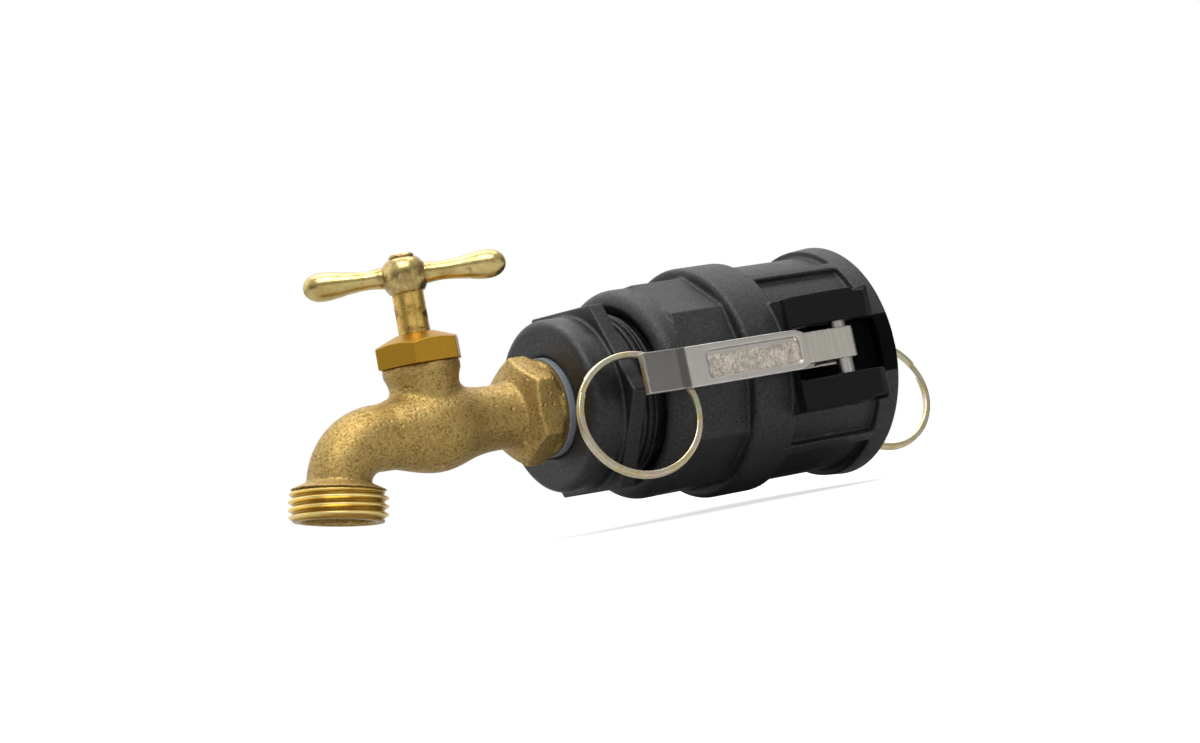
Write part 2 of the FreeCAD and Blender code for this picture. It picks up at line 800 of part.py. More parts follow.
def spout_route():
    """The bend's centre, its two ends and the way the spout points."""
    tilt = math.radians(number("spout_tilt"))
    middle_radius = (number("elbow_outer_radius") + number("elbow_inner_radius")) - 0.2
    bend_x = -number("stem_from_mouth") - number("elbow_from_stem")
    centre = App.Vector(bend_x, 0, number("belly_rise") - middle_radius)
    start = App.Vector(bend_x, 0, number("belly_rise"))
    turn = math.pi / 2 - tilt
    half = App.Vector(-math.sin(turn / 2), 0, math.cos(turn / 2)) * middle_radius + centre
    stop = App.Vector(-math.sin(turn), 0, math.cos(turn)) * middle_radius + centre
    way = App.Vector(-math.sin(tilt), 0, -math.cos(tilt))
    return start, half, stop, way


def swept_elbow(radius, end_radius, lead, run):
    """A round section carried along the spout's centre line, with a straight lead and run."""
    start, half, stop, way = spout_route()
    first = start + App.Vector(lead, 0, 0)
    last = stop + way * run
    path = Part.Wire([
        Part.makeLine(first, start),
        Part.Arc(start, half, stop).toShape(),
        Part.makeLine(stop, last),
    ])
    rings = [
        Part.Wire(Part.makeCircle(radius, first, App.Vector(-1, 0, 0))),
        Part.Wire(Part.makeCircle(end_radius, last, way)),
    ]
    return path.makePipeShell(rings, True, False)


def spout_end():
    """The centre of the hose thread's end face."""
    start, half, stop, way = spout_route()
    return stop + way * number("spout_run")


def tap_outside():
    flange_face = -number("bushing_face - washer_seat_depth + washer_thickness")
    flange_back = flange_face - number("flange_thickness")
    hex_back = flange_back - number("inlet_hex_length")
    cone_back = hex_back - number("inlet_hex_bevel")
    hex_corner = number("inlet_hex_flats") / 2 / math.cos(math.pi / 6)
    stem_x = -number("stem_from_mouth")
    neck = number("inlet_neck_radius")
    belly = number("belly_radius")
    rise = number("belly_rise")
    half_length = number("belly_half_length")

    tail = turned([
        (flange_face + number("tail_length"), 0, 0),
        (flange_face + number("tail_length"), 0, number("tail_radius")),
        (flange_face, 0, number("tail_radius")),
        (flange_face, 0, number("flange_radius")),
        (flange_back, 0, number("flange_radius")),
        (flange_back, 0, 0),
    ], ((0, 0, 0), AXIS_X))
    hexagon = Part.Face(Part.makePolygon([
        App.Vector(flange_back, hex_corner * math.sin(math.radians(60 * k)), hex_corner * math.cos(math.radians(60 * k)))
        for k in range(7)])).extrude(App.Vector(cone_back - flange_back, 0, 0))
    hex_limit = turned([
        (flange_back, 0, 0),
        (flange_back, 0, number("flange_radius")),
        (flange_back - 1.4, 0, hex_corner + 0.05),
        (hex_back, 0, hex_corner + 0.05),
        (cone_back, 0, neck),
        (cone_back, 0, 0),
    ], ((0, 0, 0), AXIS_X))
    inlet = smooth_turned([
        (cone_back + 1.0, 0, neck + 0.3),
        (cone_back - 2.5, 0, neck),
        (stem_x + half_length - 3.0, 0, neck + 0.9),
        (stem_x + 5.0, 0, belly - 1.2),
        (stem_x, 0, belly - 0.7),
        (stem_x - 6.0, 0, belly - 1.6),
        (stem_x - half_length, 0, number("elbow_outer_radius")),
        (stem_x - number("elbow_from_stem") - 1.0, 0, number("elbow_outer_radius") - 0.8),
    ], [(stem_x - number("elbow_from_stem") - 1.0, 0, 0), (cone_back + 1.0, 0, 0)], ((0, 0, 0), AXIS_X))
    inlet.translate(App.Vector(0, 0, rise * 0.6))
    top = number("bonnet_top")
    foot = 1.0
    column = smooth_turned([
        (stem_x + number("bonnet_flare_radius"), 0, top - number("bonnet_flare_height")),
        (stem_x + number("bonnet_radius"), 0, top - number("bonnet_flare_height") - 2.6),
        (stem_x + number("bonnet_radius - bonnet_waist"), 0, top / 2),
        (stem_x + number("bonnet_radius - bonnet_waist"), 0, foot),
    ], [(stem_x, 0, foot), (stem_x, 0, top),
        (stem_x + number("bonnet_flare_radius"), 0, top)], ((stem_x, 0, 0), AXIS_Z))
    elbow = swept_elbow(number("elbow_outer_radius"), number("elbow_end_radius"), 6.0,
                        number("spout_run - hose_thread_length") + 1.0)
    start, half, stop, way = spout_route()
    mouth = spout_end()
    barrel = Part.makeCylinder(number("hose_thread_radius"), number("hose_thread_length"), mouth, way * -1)
    shoulder = Part.makeCone(number("hose_thread_radius"), number("elbow_end_radius - 0.5"), number("hose_shoulder"),
                             mouth - way * number("hose_thread_length"), way * -1)
    solid = tail.fuse([hexagon.common(hex_limit), inlet, column, elbow, barrel, shoulder]).removeSplitter()
    seam = [edge for edge in solid.Edges if meets_belly(edge, stem_x)]
    return solid.makeFillet(number("bonnet_fillet"), seam)


def meets_belly(edge, stem_x):
    """Picks the edges where the bonnet's column comes out of the belly."""
    box = edge.BoundBox
    if box.ZMin < 2 or box.ZMax > number("belly_radius"):
        return False
    radii = [math.hypot(point.x - stem_x, point.y) for point in edge.discretize(7)]
    return min(radii) > number("bonnet_radius") - 1 and max(radii) < number("bonnet_radius") + 2


def tap_waterway():
    """All that is hollow in the tap body: inlet, chamber under the seat, seat, upper chamber, bonnet and spout."""
    flange_face = -number("bushing_face - washer_seat_depth + washer_thickness")
    stem_x = -number("stem_from_mouth")
    inlet_start = flange_face + number("tail_length")
    bore = number("inlet_bore_radius")
    inlet_end = stem_x + number("upper_chamber_radius") + 5.6
    axis_x = App.Vector(-1, 0, 0)
    up = App.Vector(*AXIS_Z)
    inlet = Part.makeCylinder(bore, inlet_start - inlet_end, App.Vector(inlet_start, 0, -0.6), axis_x)
    ramp_start = App.Vector(inlet_end + 3.0, 0, -2.4)
    ramp_end = App.Vector(stem_x, 0, -6.2)
    ramp = Part.makeCylinder(3.2, (ramp_end - ramp_start).Length, ramp_start, ramp_end - ramp_start)
    seat = number("seat_height")
    under = seat - number("seat_wall")
    floor = number("seat_chamber_floor")
    chamber = Part.makeCylinder(number("seat_chamber_radius"), under - floor, App.Vector(stem_x, 0, floor), up)
    hole = Part.makeCylinder(number("seat_radius"), seat - floor, App.Vector(stem_x, 0, floor), up)
    upper = Part.makeCylinder(number("upper_chamber_radius"), number("upper_chamber_top") - seat,
                              App.Vector(stem_x, 0, seat), up)
    thread = Part.makeCylinder(number("stem_thread_bore"), number("bonnet_top") - seat, App.Vector(stem_x, 0, seat), up)
    box_floor = number("packing_box_floor")
    box = Part.makeCylinder(number("packing_box_radius"), number("bonnet_top") - box_floor,
                            App.Vector(stem_x, 0, box_floor), up)
    lead = number("elbow_from_stem") - number("upper_chamber_radius") + 1.0
    spout = swept_elbow(number("elbow_inner_radius"), number("elbow_inner_radius"), lead, number("spout_run") + 1.0)
    start, half, stop, way = spout_route()
    mouth = Part.makeCylinder(number("hose_bore_radius"), number("hose_bore_depth") + 1.0, spout_end() + way, way * -1)
    return inlet.fuse([ramp, chamber, hole, upper, thread, box, spout, mouth])


def make_tap_body():
    feature = doc.addObject("Part::Feature", "spigot_body")
    feature.Label = "spigot_body"
    feature.Shape = tap_outside().cut(tap_waterway())
    feature.Placement = App.Placement()
    return feature


# stem, packing and handle

def make_turned(label, corners):
    """A body turned about the stem's axis from corners given as radius and height."""
    body = new_body(label)
    sketch = new_sketch(body, "XZ_Plane", label + "_section")
    outline(sketch, corners)
    revolve(body, sketch, "V_Axis")
    place(body, x="-stem_from_mouth")
    return body


def make_stem():
    washer_top = "(seat_height + seat_washer_gap + seat_washer_thickness)"
    body = make_turned("valve_stem", [
        ("0", washer_top),
        ("stem_thread_radius - 0.5", washer_top),
        ("stem_thread_radius", washer_top + " + 0.5"),
        ("stem_thread_radius", "stem_thread_top - 0.6"),
        ("stem_thread_radius - 0.6", "stem_thread_top"),
        ("stem_radius", "stem_thread_top"),
        ("stem_radius", "stem_square_bottom"),
        ("stem_tip_radius", "stem_square_bottom"),
        ("stem_tip_radius", "stem_tip_top"),
        ("0", "stem_tip_top"),
    ])
    square = new_sketch(body, "XY_Plane", "stem_square", "stem_square_bottom")
    outline(square, polygon_corners(4, "stem_square / 2 / cos(45 deg)", "45 + handle_turn"))
    pad(body, square, "stem_top - stem_square_bottom")
    hole = new_sketch(body, "XY_Plane", "stem_screw_hole", washer_top)
    circle(hole, "0", "0", "screw_shank_radius")
    pocket(body, hole, "screw_length - seat_washer_thickness + 0.2", reverse=True)
    return body


def make_seat_washer():
    low = "(seat_height + seat_washer_gap)"
    return make_turned("seat_washer", [
        ("screw_shank_radius + 0.1", low),
        ("seat_washer_radius - 0.4", low),
        ("seat_washer_radius", low + " + 0.4"),
        ("seat_washer_radius", low + " + seat_washer_thickness"),
        ("screw_shank_radius + 0.1", low + " + seat_washer_thickness"),
    ])


def make_screw():
    low = "(seat_height + seat_washer_gap)"
    return make_turned("seat_washer_screw", [
        ("0", low + " - screw_head_height"),
        ("screw_head_radius - 0.6", low + " - screw_head_height"),
        ("screw_head_radius", low + " - screw_head_height + 0.6"),
        ("screw_head_radius", low),
        ("screw_shank_radius", low),
        ("screw_shank_radius", low + " + screw_length"),
        ("0", low + " + screw_length"),
    ])


def make_packing_pieces():
    """From the bottom of the packing box: washer, packing ring, follower."""
    floor = "packing_box_floor"
    outer = "packing_box_radius - packing_side_gap"
    inner = "stem_radius + stem_gap"
    pieces = []
    for label, thickness in (
        ("packing_washer", "packing_washer_thickness"),
        ("stem_packing", "packing_thickness"),
        ("packing_follower", "follower_thickness"),
    ):
        ceiling = "%s + %s" % (floor, thickness)
        pieces.append(make_turned(label, [
            (inner, floor),
            (outer, floor),
            (outer, ceiling),
            (inner, ceiling),
        ]))
        floor = ceiling
    return pieces


def make_nut():
    """Hexagon head on the bonnet with a screwed skirt down to the follower."""
    body = new_body("packing_nut")
    skirt_low = "packing_box_floor + packing_washer_thickness + packing_thickness + follower_thickness"
    head = new_sketch(body, "XY_Plane", "nut_hexagon", "bonnet_top")
    outline(head, polygon_corners(6, "nut_flats / 2 / cos(30 deg)", "nut_turn"))
    pad(body, head, "nut_height")
    skirt = new_sketch(body, "XZ_Plane", "nut_skirt")
    outline(skirt, [
        ("0", skirt_low),
        ("packing_box_radius - packing_side_gap", skirt_low),
        ("packing_box_radius - packing_side_gap", "bonnet_top + 1"),
        ("0", "bonnet_top + 1"),
    ])
    revolve(body, skirt, "V_Axis")
    crown = new_sketch(body, "XZ_Plane", "nut_crown")
    corner = "(nut_flats / 2 / cos(30 deg))"
    top = "(bonnet_top + nut_height)"
    outline(crown, [
        (corner + " + 2", "bonnet_top + nut_side_height - 0.3"),
        (corner + " - 0.4", "bonnet_top + nut_side_height"),
        ("nut_crown_radius", top),
        ("nut_crown_radius", top + " + 1"),
        (corner + " + 2", top + " + 1"),
    ])
    groove(body, crown, "V_Axis")
    bore = new_sketch(body, "XZ_Plane", "nut_bore")
    outline(bore, [
        ("0", skirt_low + " - 1"),
        ("stem_radius + stem_gap", skirt_low + " - 1"),
        ("stem_radius + stem_gap", top + " + 1"),
        ("0", top + " + 1"),
    ])
    groove(body, bore, "V_Axis")
    place(body, x="-stem_from_mouth")
    return body


def make_handle():
    """Forged tee: a round hub and two arms that swell to rounded ends."""
    feature = doc.addObject("Part::Feature", "tee_handle")
    feature.Label = "tee_handle"
    centre_z = number("hub_bottom + hub_height / 2")
    reach = number("handle_reach")
    thin = number("arm_thin_radius")
    ball = number("arm_ball_radius")
    arm = smooth_turned([
        (0, 0, thin + 0.9),
        (number("arm_thin_place") * 0.6, 0, thin + 0.5),
        (number("arm_thin_place"), 0, thin),
        (number("arm_ball_place") * 0.75, 0, ball * 0.84),
        (number("arm_ball_place"), 0, ball),
        (reach - 1.4, 0, ball * 0.72),
        (reach, 0, 0.02),
    ], [(reach, 0, 0), (0, 0, 0)], ((0, 0, 0), AXIS_X))
    other = arm.copy()
    other.rotate(App.Vector(0, 0, 0), App.Vector(*AXIS_Z), 180)
    arms = arm.fuse(other)
    arms.rotate(App.Vector(0, 0, 0), App.Vector(0, 1, 0), number("handle_tilt"))
    arms.rotate(App.Vector(0, 0, 0), App.Vector(*AXIS_Z), number("handle_turn"))
    arms.translate(App.Vector(0, 0, centre_z))
    radius = number("hub_radius")
    low = number("hub_bottom")
    high = low + number("hub_height")
    hub = smooth_turned([
        (radius * 0.76, 0, low),
        (radius * 0.90, 0, low + 1.6),
        (radius, 0, centre_z),
        (radius * 0.88, 0, high - 1.8),
        (radius * 0.62, 0, high),
    ], [(0, 0, high), (0, 0, low)], ((0, 0, 0), AXIS_Z))
    width = number("stem_square + 2 * stem_gap")
    square = Part.makeBox(width, width, high - low + 2, App.Vector(-width / 2, -width / 2, low - 1))
    square.rotate(App.Vector(0, 0, 0), App.Vector(*AXIS_Z), number("handle_turn"))
    sunk = Part.makeCylinder(number("stem_radius") + number("stem_gap"), number("stem_square_bottom") - low + 1,
                             App.Vector(0, 0, low - 1))
    feature.Shape = hub.fuse(arms).cut(square.fuse(sunk))
    feature.Placement = App.Placement(App.Vector(-number("stem_from_mouth"), 0, 0), App.Rotation())
    return feature


def make_cap():
    """The domed cap nut that holds the handle on the stem."""
    low = "(hub_bottom + hub_height)"
    bore = "stem_tip_radius + stem_gap"
    body = make_turned("handle_cap", [
        ("0", "stem_tip_top + stem_gap"),
        (bore, "stem_tip_top + stem_gap"),
        (bore, low),
        ("cap_radius", low),
        ("cap_radius", low + " + cap_height * 0.5"),
        ("cap_radius * 0.86", low + " + cap_height"),
        ("0", low + " + cap_height"),
    ])
    return body


def build():
    make_coupler()
    make_gasket()
    for side in ("near", "far"):
        make_pin(side)
        make_lever(side)
        make_ring(side)
    make_bushing()
    make_washer()
    make_tap_body()
    make_stem()
    make_seat_washer()
    make_screw()
    make_packing_pieces()
    make_nut()
    make_handle()
    make_cap()
    doc.recompute()


def check():
    """Stops if anything in the document failed, or a piece has no good solid."""
    for thing in doc.Objects:
        if "Invalid" in thing.State or "Error" in thing.State:
            raise RuntimeError("failed: " + thing.Name + " " + str(thing.State))
    pieces = [thing for thing in doc.Objects
              if thing.TypeId == "PartDesign::Body" or thing.TypeId == "Part::Feature"]
    for piece in pieces:
        if piece.Shape.isNull() or not piece.Shape.isValid() or not piece.Shape.Solids:
            raise RuntimeError("bad shape: " + piece.Label)
    return pieces


def write(pieces):
    os.makedirs("parts", exist_ok=True)
    for piece in pieces:
        piece.Shape.exportStep("parts/%s.step" % piece.Label)
        box = piece.Shape.BoundBox
        print("%-20s solids %d volume %9.1f x %7.1f..%6.1f y %6.1f..%5.1f z %6.1f..%5.1f" % (
            piece.Label, len(piece.Shape.Solids), piece.Shape.Volume,
            box.XMin, box.XMax, box.YMin, box.YMax, box.ZMin, box.ZMax))


build()
write(check())
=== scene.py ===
"""Can spigot: a brass garden tap on a black plastic cam-lock coupler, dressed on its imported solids."""
import math

import bmesh
import bpy
import numpy as np
from mathutils import Matrix, Vector


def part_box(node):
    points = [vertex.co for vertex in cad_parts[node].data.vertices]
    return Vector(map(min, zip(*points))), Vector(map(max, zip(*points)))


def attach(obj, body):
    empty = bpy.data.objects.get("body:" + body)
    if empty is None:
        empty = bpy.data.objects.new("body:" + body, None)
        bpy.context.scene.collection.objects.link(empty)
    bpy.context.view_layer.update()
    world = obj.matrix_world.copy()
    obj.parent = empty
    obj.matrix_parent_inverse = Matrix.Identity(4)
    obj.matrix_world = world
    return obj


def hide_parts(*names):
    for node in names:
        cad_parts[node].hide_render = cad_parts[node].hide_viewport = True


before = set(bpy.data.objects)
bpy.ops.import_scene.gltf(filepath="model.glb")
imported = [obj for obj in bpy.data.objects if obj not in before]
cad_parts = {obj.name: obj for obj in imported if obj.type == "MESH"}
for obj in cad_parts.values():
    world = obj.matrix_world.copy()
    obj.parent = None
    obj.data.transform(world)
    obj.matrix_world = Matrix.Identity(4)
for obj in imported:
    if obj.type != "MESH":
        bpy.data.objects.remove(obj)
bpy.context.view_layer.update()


# Coupler body: a socket for the drum's outlet, moulded in glass-filled polypropylene.
# The mould leaves soft edges and a fine matt grain, and handling rubs the ridges paler.

COUPLER_VOXEL = 0.00040
PLASTIC_COLOUR = (0.0132, 0.0135, 0.0144, 1.0)
PLASTIC_RUBBED = (0.060, 0.061, 0.063, 1.0)
PLASTIC_ROUGHNESS = (0.46, 0.60)
SKIN_SHEEN = 0.50
EAR_SHEEN = 0.14
EAR_FOOT = 0.0334
EAR_TURN = 3.3
SLOT_HALF = 0.0083
SLOT_DEPTH = 0.0268
SLOT_TOP = 0.0355
CHEEK_X = (-0.0346, -0.0114)
CHEEK_OUT = (0.0271, 0.0294)
NEAR_CHEEKS = ((-0.0082, -0.0061), (0.0037, 0.0082))
FAR_CHEEKS = ((-0.0082, -0.0049), (0.0049, 0.0082))


def solid_copy(node, name):
    """A welded copy of one node's mesh, as a new object."""
    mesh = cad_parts[node].data.copy()
    mesh.name = name
    mesh.materials.clear()
    work = bmesh.new()
    work.from_mesh(mesh)
    bmesh.ops.remove_doubles(work, verts=work.verts, dist=1e-6)
    work.to_mesh(mesh)
    work.free()
    piece = bpy.data.objects.new(name, mesh)
    bpy.context.scene.collection.objects.link(piece)
    return piece


def settle(piece):
    """Makes the modifiers real and drops them."""
    shown = bpy.context.evaluated_depsgraph_get()
    made = bpy.data.meshes.new_from_object(piece.evaluated_get(shown))
    piece.modifiers.clear()
    piece.data = made
    made.name = piece.name
    return piece


def soften(piece, voxel, rounds, keep=1.0):
    """Even small faces all over, with every edge rounded by about a voxel."""
    remesh = piece.modifiers.new("cells", "REMESH")
    remesh.mode = "VOXEL"
    remesh.voxel_size = voxel
    remesh.use_smooth_shade = True
    smooth = piece.modifiers.new("rounding", "SMOOTH")
    smooth.factor = 0.5
    smooth.iterations = rounds
    if keep < 1.0:
        thin = piece.modifiers.new("thinning", "DECIMATE")
        thin.ratio = keep
    settle(piece)
    piece.data.shade_smooth()
    return piece


def group(name, inputs, outputs):
    """An empty shader group with its named sockets."""
    tree = bpy.data.node_groups.new(name, "ShaderNodeTree")
    for label, kind, value in inputs:
        socket = tree.interface.new_socket(label, in_out="INPUT", socket_type="NodeSocket" + kind)
        if value is not None:
            socket.default_value = value
    for label, kind in outputs:
        tree.interface.new_socket(label, in_out="OUTPUT", socket_type="NodeSocket" + kind)
    return tree, tree.nodes.new("NodeGroupInput"), tree.nodes.new("NodeGroupOutput")


def gnode(tree, kind, links=(), **values):
    """A node of this type. Values starting with i_ set its sockets, the others its own settings."""
    made = tree.nodes.new(kind)
    for key, value in values.items():
        if key.startswith("i_"):
            label = key[2:].replace("_", " ")
            made.inputs[int(label) if label.isdigit() else label].default_value = value
        else:
            setattr(made, key, value)
    for source, target in links:
        tree.links.new(source, made.inputs[target])
    return made


def node(tree, kind, links=(), **values):
    """A shader node, named without the first part of its type."""
    return gnode(tree, "ShaderNode" + kind, links, **values)


def ramp(tree, source, stops):
    """A colour ramp on a value, from pairs of place and colour."""
    made = node(tree, "ValToRGB", [(source, "Fac")])
    band = made.color_ramp
    while len(band.elements) < len(stops):
        band.elements.new(0.5)
    for element, (place, colour) in zip(band.elements, stops):
        element.position = place
        element.color = colour if len(colour) == 4 else (*colour, 1.0)
    return made


def finish_of(name):
    """A new material with its node tree, shader and object coordinates."""
    made = bpy.data.materials.new(name)
    made.use_nodes = True
    tree = made.node_tree
    shader = tree.nodes["Principled BSDF"]
    place = tree.nodes.new("ShaderNodeTexCoord").outputs["Object"]
    return made, tree, shader, place


def use(piece, material, body, *replaced, slot=None):
    """Gives a piece its material, its body and the nodes it stands for. The slot is not used."""
    piece.data.materials.clear()
    piece.data.materials.append(material)
    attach(piece, body)
    if replaced:
        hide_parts(*replaced)
    return piece


# edge mask: where the surface bends outwards, broken up by noise, and the hollows. It marks edge wear on
# most parts, painted highlights on the levers' edges and painted shade on the nut's corners
edge_mask_group, wear_in, wear_out = group(
    "edge_wear",
    [("Place", "Vector", None), ("Start", "Float", 0.53), ("End", "Float", 0.62),
     ("Scale", "Float", 900.0)],
    [("Mask", "Float"), ("Hollow", "Float")])
bend = node(edge_mask_group, "NewGeometry").outputs["Pointiness"]
patch = node(edge_mask_group, "TexNoise", [(wear_in.outputs["Place"], "Vector"),
                                      (wear_in.outputs["Scale"], "Scale")],
             i_Detail=3.0, i_Roughness=0.6)
ridge = node(edge_mask_group, "MapRange", [(bend, "Value"), (wear_in.outputs["Start"], "From Min"),
                                      (wear_in.outputs["End"], "From Max")])
broken = node(edge_mask_group, "MapRange", [(patch.outputs["Fac"], "Value")], i_From_Min=0.3, i_From_Max=0.62)
worn = node(edge_mask_group, "Math", [(ridge.outputs["Result"], 0), (broken.outputs["Result"], 1)],
            operation="MULTIPLY")
hollow = node(edge_mask_group, "MapRange", [(bend, "Value")], i_From_Min=0.495, i_From_Max=0.44)
edge_mask_group.links.new(worn.outputs[0], wear_out.inputs["Mask"])
edge_mask_group.links.new(hollow.outputs["Result"], wear_out.inputs["Hollow"])

# grain: the fine uneven skin of a moulding or casting, as a height and a patchy mask
grain_group, grain_in, grain_out = group(
    "grain",
    [("Place", "Vector", None), ("Fine", "Float", 2600.0), ("Coarse", "Float", 500.0),
     ("Share", "Float", 0.4)],
    [("Height", "Float"), ("Patch", "Float")])
fine = node(grain_group, "TexNoise", [(grain_in.outputs["Place"], "Vector"),
                                      (grain_in.outputs["Fine"], "Scale")],
            i_Detail=4.0, i_Roughness=0.65)
coarse = node(grain_group, "TexNoise", [(grain_in.outputs["Place"], "Vector"),
                                        (grain_in.outputs["Coarse"], "Scale")],
              i_Detail=3.0, i_Roughness=0.55)
both = node(grain_group, "Mix", [(grain_in.outputs["Share"], 0), (fine.outputs["Fac"], 2),
                                 (coarse.outputs["Fac"], 3)], data_type="FLOAT")
grain_group.links.new(both.outputs[0], grain_out.inputs["Height"])
grain_group.links.new(coarse.outputs["Fac"], grain_out.inputs["Patch"])


def placed_group(tree, group_tree, place, **values):
    """A shader group placed in a material, with its coordinates and values."""
    made = tree.nodes.new("ShaderNodeGroup")
    made.node_tree = group_tree
    tree.links.new(place, made.inputs["Place"])
    for label, value in values.items():
        made.inputs[label].default_value = value
    return made


def plastic(name, colour, edge_wear_and_highlight, roughness, strength, ear_shade_beyond=1.0):
    """Black moulded plastic. Beyond this distance to either side of the axis, on the ears, it is painted a
    deeper black with a lower specular, as painted shade.
    """
    made, tree, shader, place = finish_of(name)
    edge_masks = placed_group(tree, edge_mask_group, place, Start=0.535, End=0.66, Scale=700.0)
    skin = placed_group(tree, grain_group, place, Fine=1500.0, Coarse=260.0, Share=0.20)
    spot = node(tree, "SeparateXYZ", [(place, 0)])
    side_way = node(tree, "Math", [(spot.outputs["Y"], 0)], operation="ABSOLUTE")
    smooth = node(tree, "MapRange", [(side_way.outputs[0], "Value")], i_From_Min=ear_shade_beyond - 0.0006,
                  i_From_Max=ear_shade_beyond + 0.0006)
    tone = ramp(tree, skin.outputs["Height"], [
        (0.32, tuple(c * 0.62 for c in colour[:3])), (0.68, tuple(c * 1.45 for c in colour[:3]))])
    rub = node(tree, "Mix", [(edge_masks.outputs["Mask"], 0), (tone.outputs["Color"], 6)],
               data_type="RGBA", i_7=edge_wear_and_highlight)
    dust = node(tree, "TexNoise", [(place, "Vector")], i_Scale=1500.0, i_Detail=1.0)
    specks = node(tree, "MapRange", [(dust.outputs["Fac"], "Value")], i_From_Min=0.74, i_From_Max=0.80)
    speckled = node(tree, "Mix", [(specks.outputs["Result"], 0), (rub.outputs[2], 6)],
                    data_type="RGBA", i_7=tuple(min(1.0, c * 3.2) for c in colour[:3]) + (1.0,))
    gloss = node(tree, "MapRange", [(skin.outputs["Patch"], "Value")], i_From_Min=0.3, i_From_Max=0.7,
                 i_To_Min=roughness[0], i_To_Max=roughness[1])
    bump = node(tree, "Bump", [(skin.outputs["Height"], "Height")], i_Strength=strength, i_Distance=0.00012)
    # painted shade: on the ears, beyond the given distance from the axis, the colour is painted a deeper
    # black and the specular is lowered to EAR_SHEEN
    ears_shaded = node(tree, "Mix", [(smooth.outputs["Result"], 0), (speckled.outputs[2], 6)], data_type="RGBA",
                  i_7=tuple(c * 0.38 for c in colour[:3]) + (1.0,))
    spangle = node(tree, "MapRange", [(skin.outputs["Height"], "Value")], i_From_Min=0.34, i_From_Max=0.66,
                   i_To_Min=SKIN_SHEEN * 0.65, i_To_Max=SKIN_SHEEN * 1.38)
    sheen = node(tree, "MapRange", [(smooth.outputs["Result"], "Value"),
                                    (spangle.outputs["Result"], "To Min")],
                 i_To_Max=EAR_SHEEN)
    # painted shade: inside the lever slots, between the ears and below the slot's top, the colour is painted
    # near black and the specular is lowered
    lean = node(tree, "Math", [(spot.outputs["Y"], 0), (spot.outputs["Z"], 2)], operation="MULTIPLY_ADD",
                i_1=math.tan(math.radians(EAR_TURN)))
    off_middle = node(tree, "Math", [(lean.outputs[0], 0)], operation="ABSOLUTE")
    between = node(tree, "MapRange", [(off_middle.outputs[0], "Value")], i_From_Min=SLOT_HALF + 0.0002,
                   i_From_Max=SLOT_HALF - 0.0001)
    deep = node(tree, "MapRange", [(side_way.outputs[0], "Value")], i_From_Min=SLOT_DEPTH - 0.0004,
                i_From_Max=SLOT_DEPTH)
    shallow = node(tree, "MapRange", [(side_way.outputs[0], "Value")], i_From_Min=SLOT_TOP + 0.001,
                   i_From_Max=SLOT_TOP - 0.001)
    ahead = node(tree, "MapRange", [(spot.outputs["X"], "Value")], i_From_Min=CHEEK_X[0] - 0.0006,
                 i_From_Max=CHEEK_X[0] + 0.0002)
    wide_part = node(tree, "Math", [(between.outputs["Result"], 0), (ahead.outputs["Result"], 1)],
                     operation="MULTIPLY")
    in_slot = node(tree, "Math", [(wide_part.outputs[0], 0), (deep.outputs["Result"], 1)],
                   operation="MULTIPLY")
    unlit = node(tree, "Math", [(in_slot.outputs[0], 0), (shallow.outputs["Result"], 1)],
                 operation="MULTIPLY")
    slot_shade = node(tree, "Mix", [(unlit.outputs[0], 0), (ears_shaded.outputs[2], 6)], data_type="RGBA",
                i_7=(0.002, 0.002, 0.002, 1.0))
    slot_shade_specular = node(tree, "MapRange", [(unlit.outputs[0], "Value"), (sheen.outputs["Result"], "To Min")],
                i_To_Max=0.04)
    tree.links.new(slot_shade.outputs[2], shader.inputs["Base Color"])
    tree.links.new(gloss.outputs["Result"], shader.inputs["Roughness"])
    tree.links.new(bump.outputs["Normal"], shader.inputs["Normal"])
    tree.links.new(slot_shade_specular.outputs["Result"], shader.inputs["Specular IOR Level"])
    return made


def box_into(mesh, low, high, placed):
    """Adds a closed box to a mesh, at this place."""
    work = bmesh.new()
    work.from_mesh(mesh)
    middle = (Vector(low) + Vector(high)) / 2
    size = Vector(high) - Vector(low)
    grid = placed @ Matrix.Translation(middle) @ Matrix.Diagonal((*size, 1.0))
    bmesh.ops.create_cube(work, size=1.0, matrix=grid)
    work.to_mesh(mesh)
    work.free()


coupler_plastic = plastic("coupler_plastic", PLASTIC_COLOUR, PLASTIC_RUBBED, PLASTIC_ROUGHNESS, 0.85,
                          EAR_FOOT)
# each cam passes the wall through a window of its own width, so its cheeks close the slot's floor beside it
moulding = solid_copy("coupler_body", "coupler_moulding")
ear_turn = Matrix.Rotation(math.radians(-EAR_TURN), 4, "X")
for half_turn, cheeks in ((180.0, NEAR_CHEEKS), (0.0, FAR_CHEEKS)):
    lie = ear_turn @ Matrix.Rotation(math.radians(half_turn), 4, "X")
    for low_side, high_side in cheeks:
        box_into(moulding.data, (CHEEK_X[0], CHEEK_OUT[0], low_side),
                 (CHEEK_X[1], CHEEK_OUT[1], high_side), lie)
coupler = soften(moulding, COUPLER_VOXEL, 2, 0.5)
use(coupler, coupler_plastic, "coupler", "coupler_body", slot="black_plastic")


# Cam-lock gasket: a flat rubber ring that lies in the groove at the bottom of the socket.
# It is punched square and has a dull bloom.

GASKET_COLOUR = (0.020, 0.020, 0.021, 1.0)
GASKET_VOXEL = 0.0004

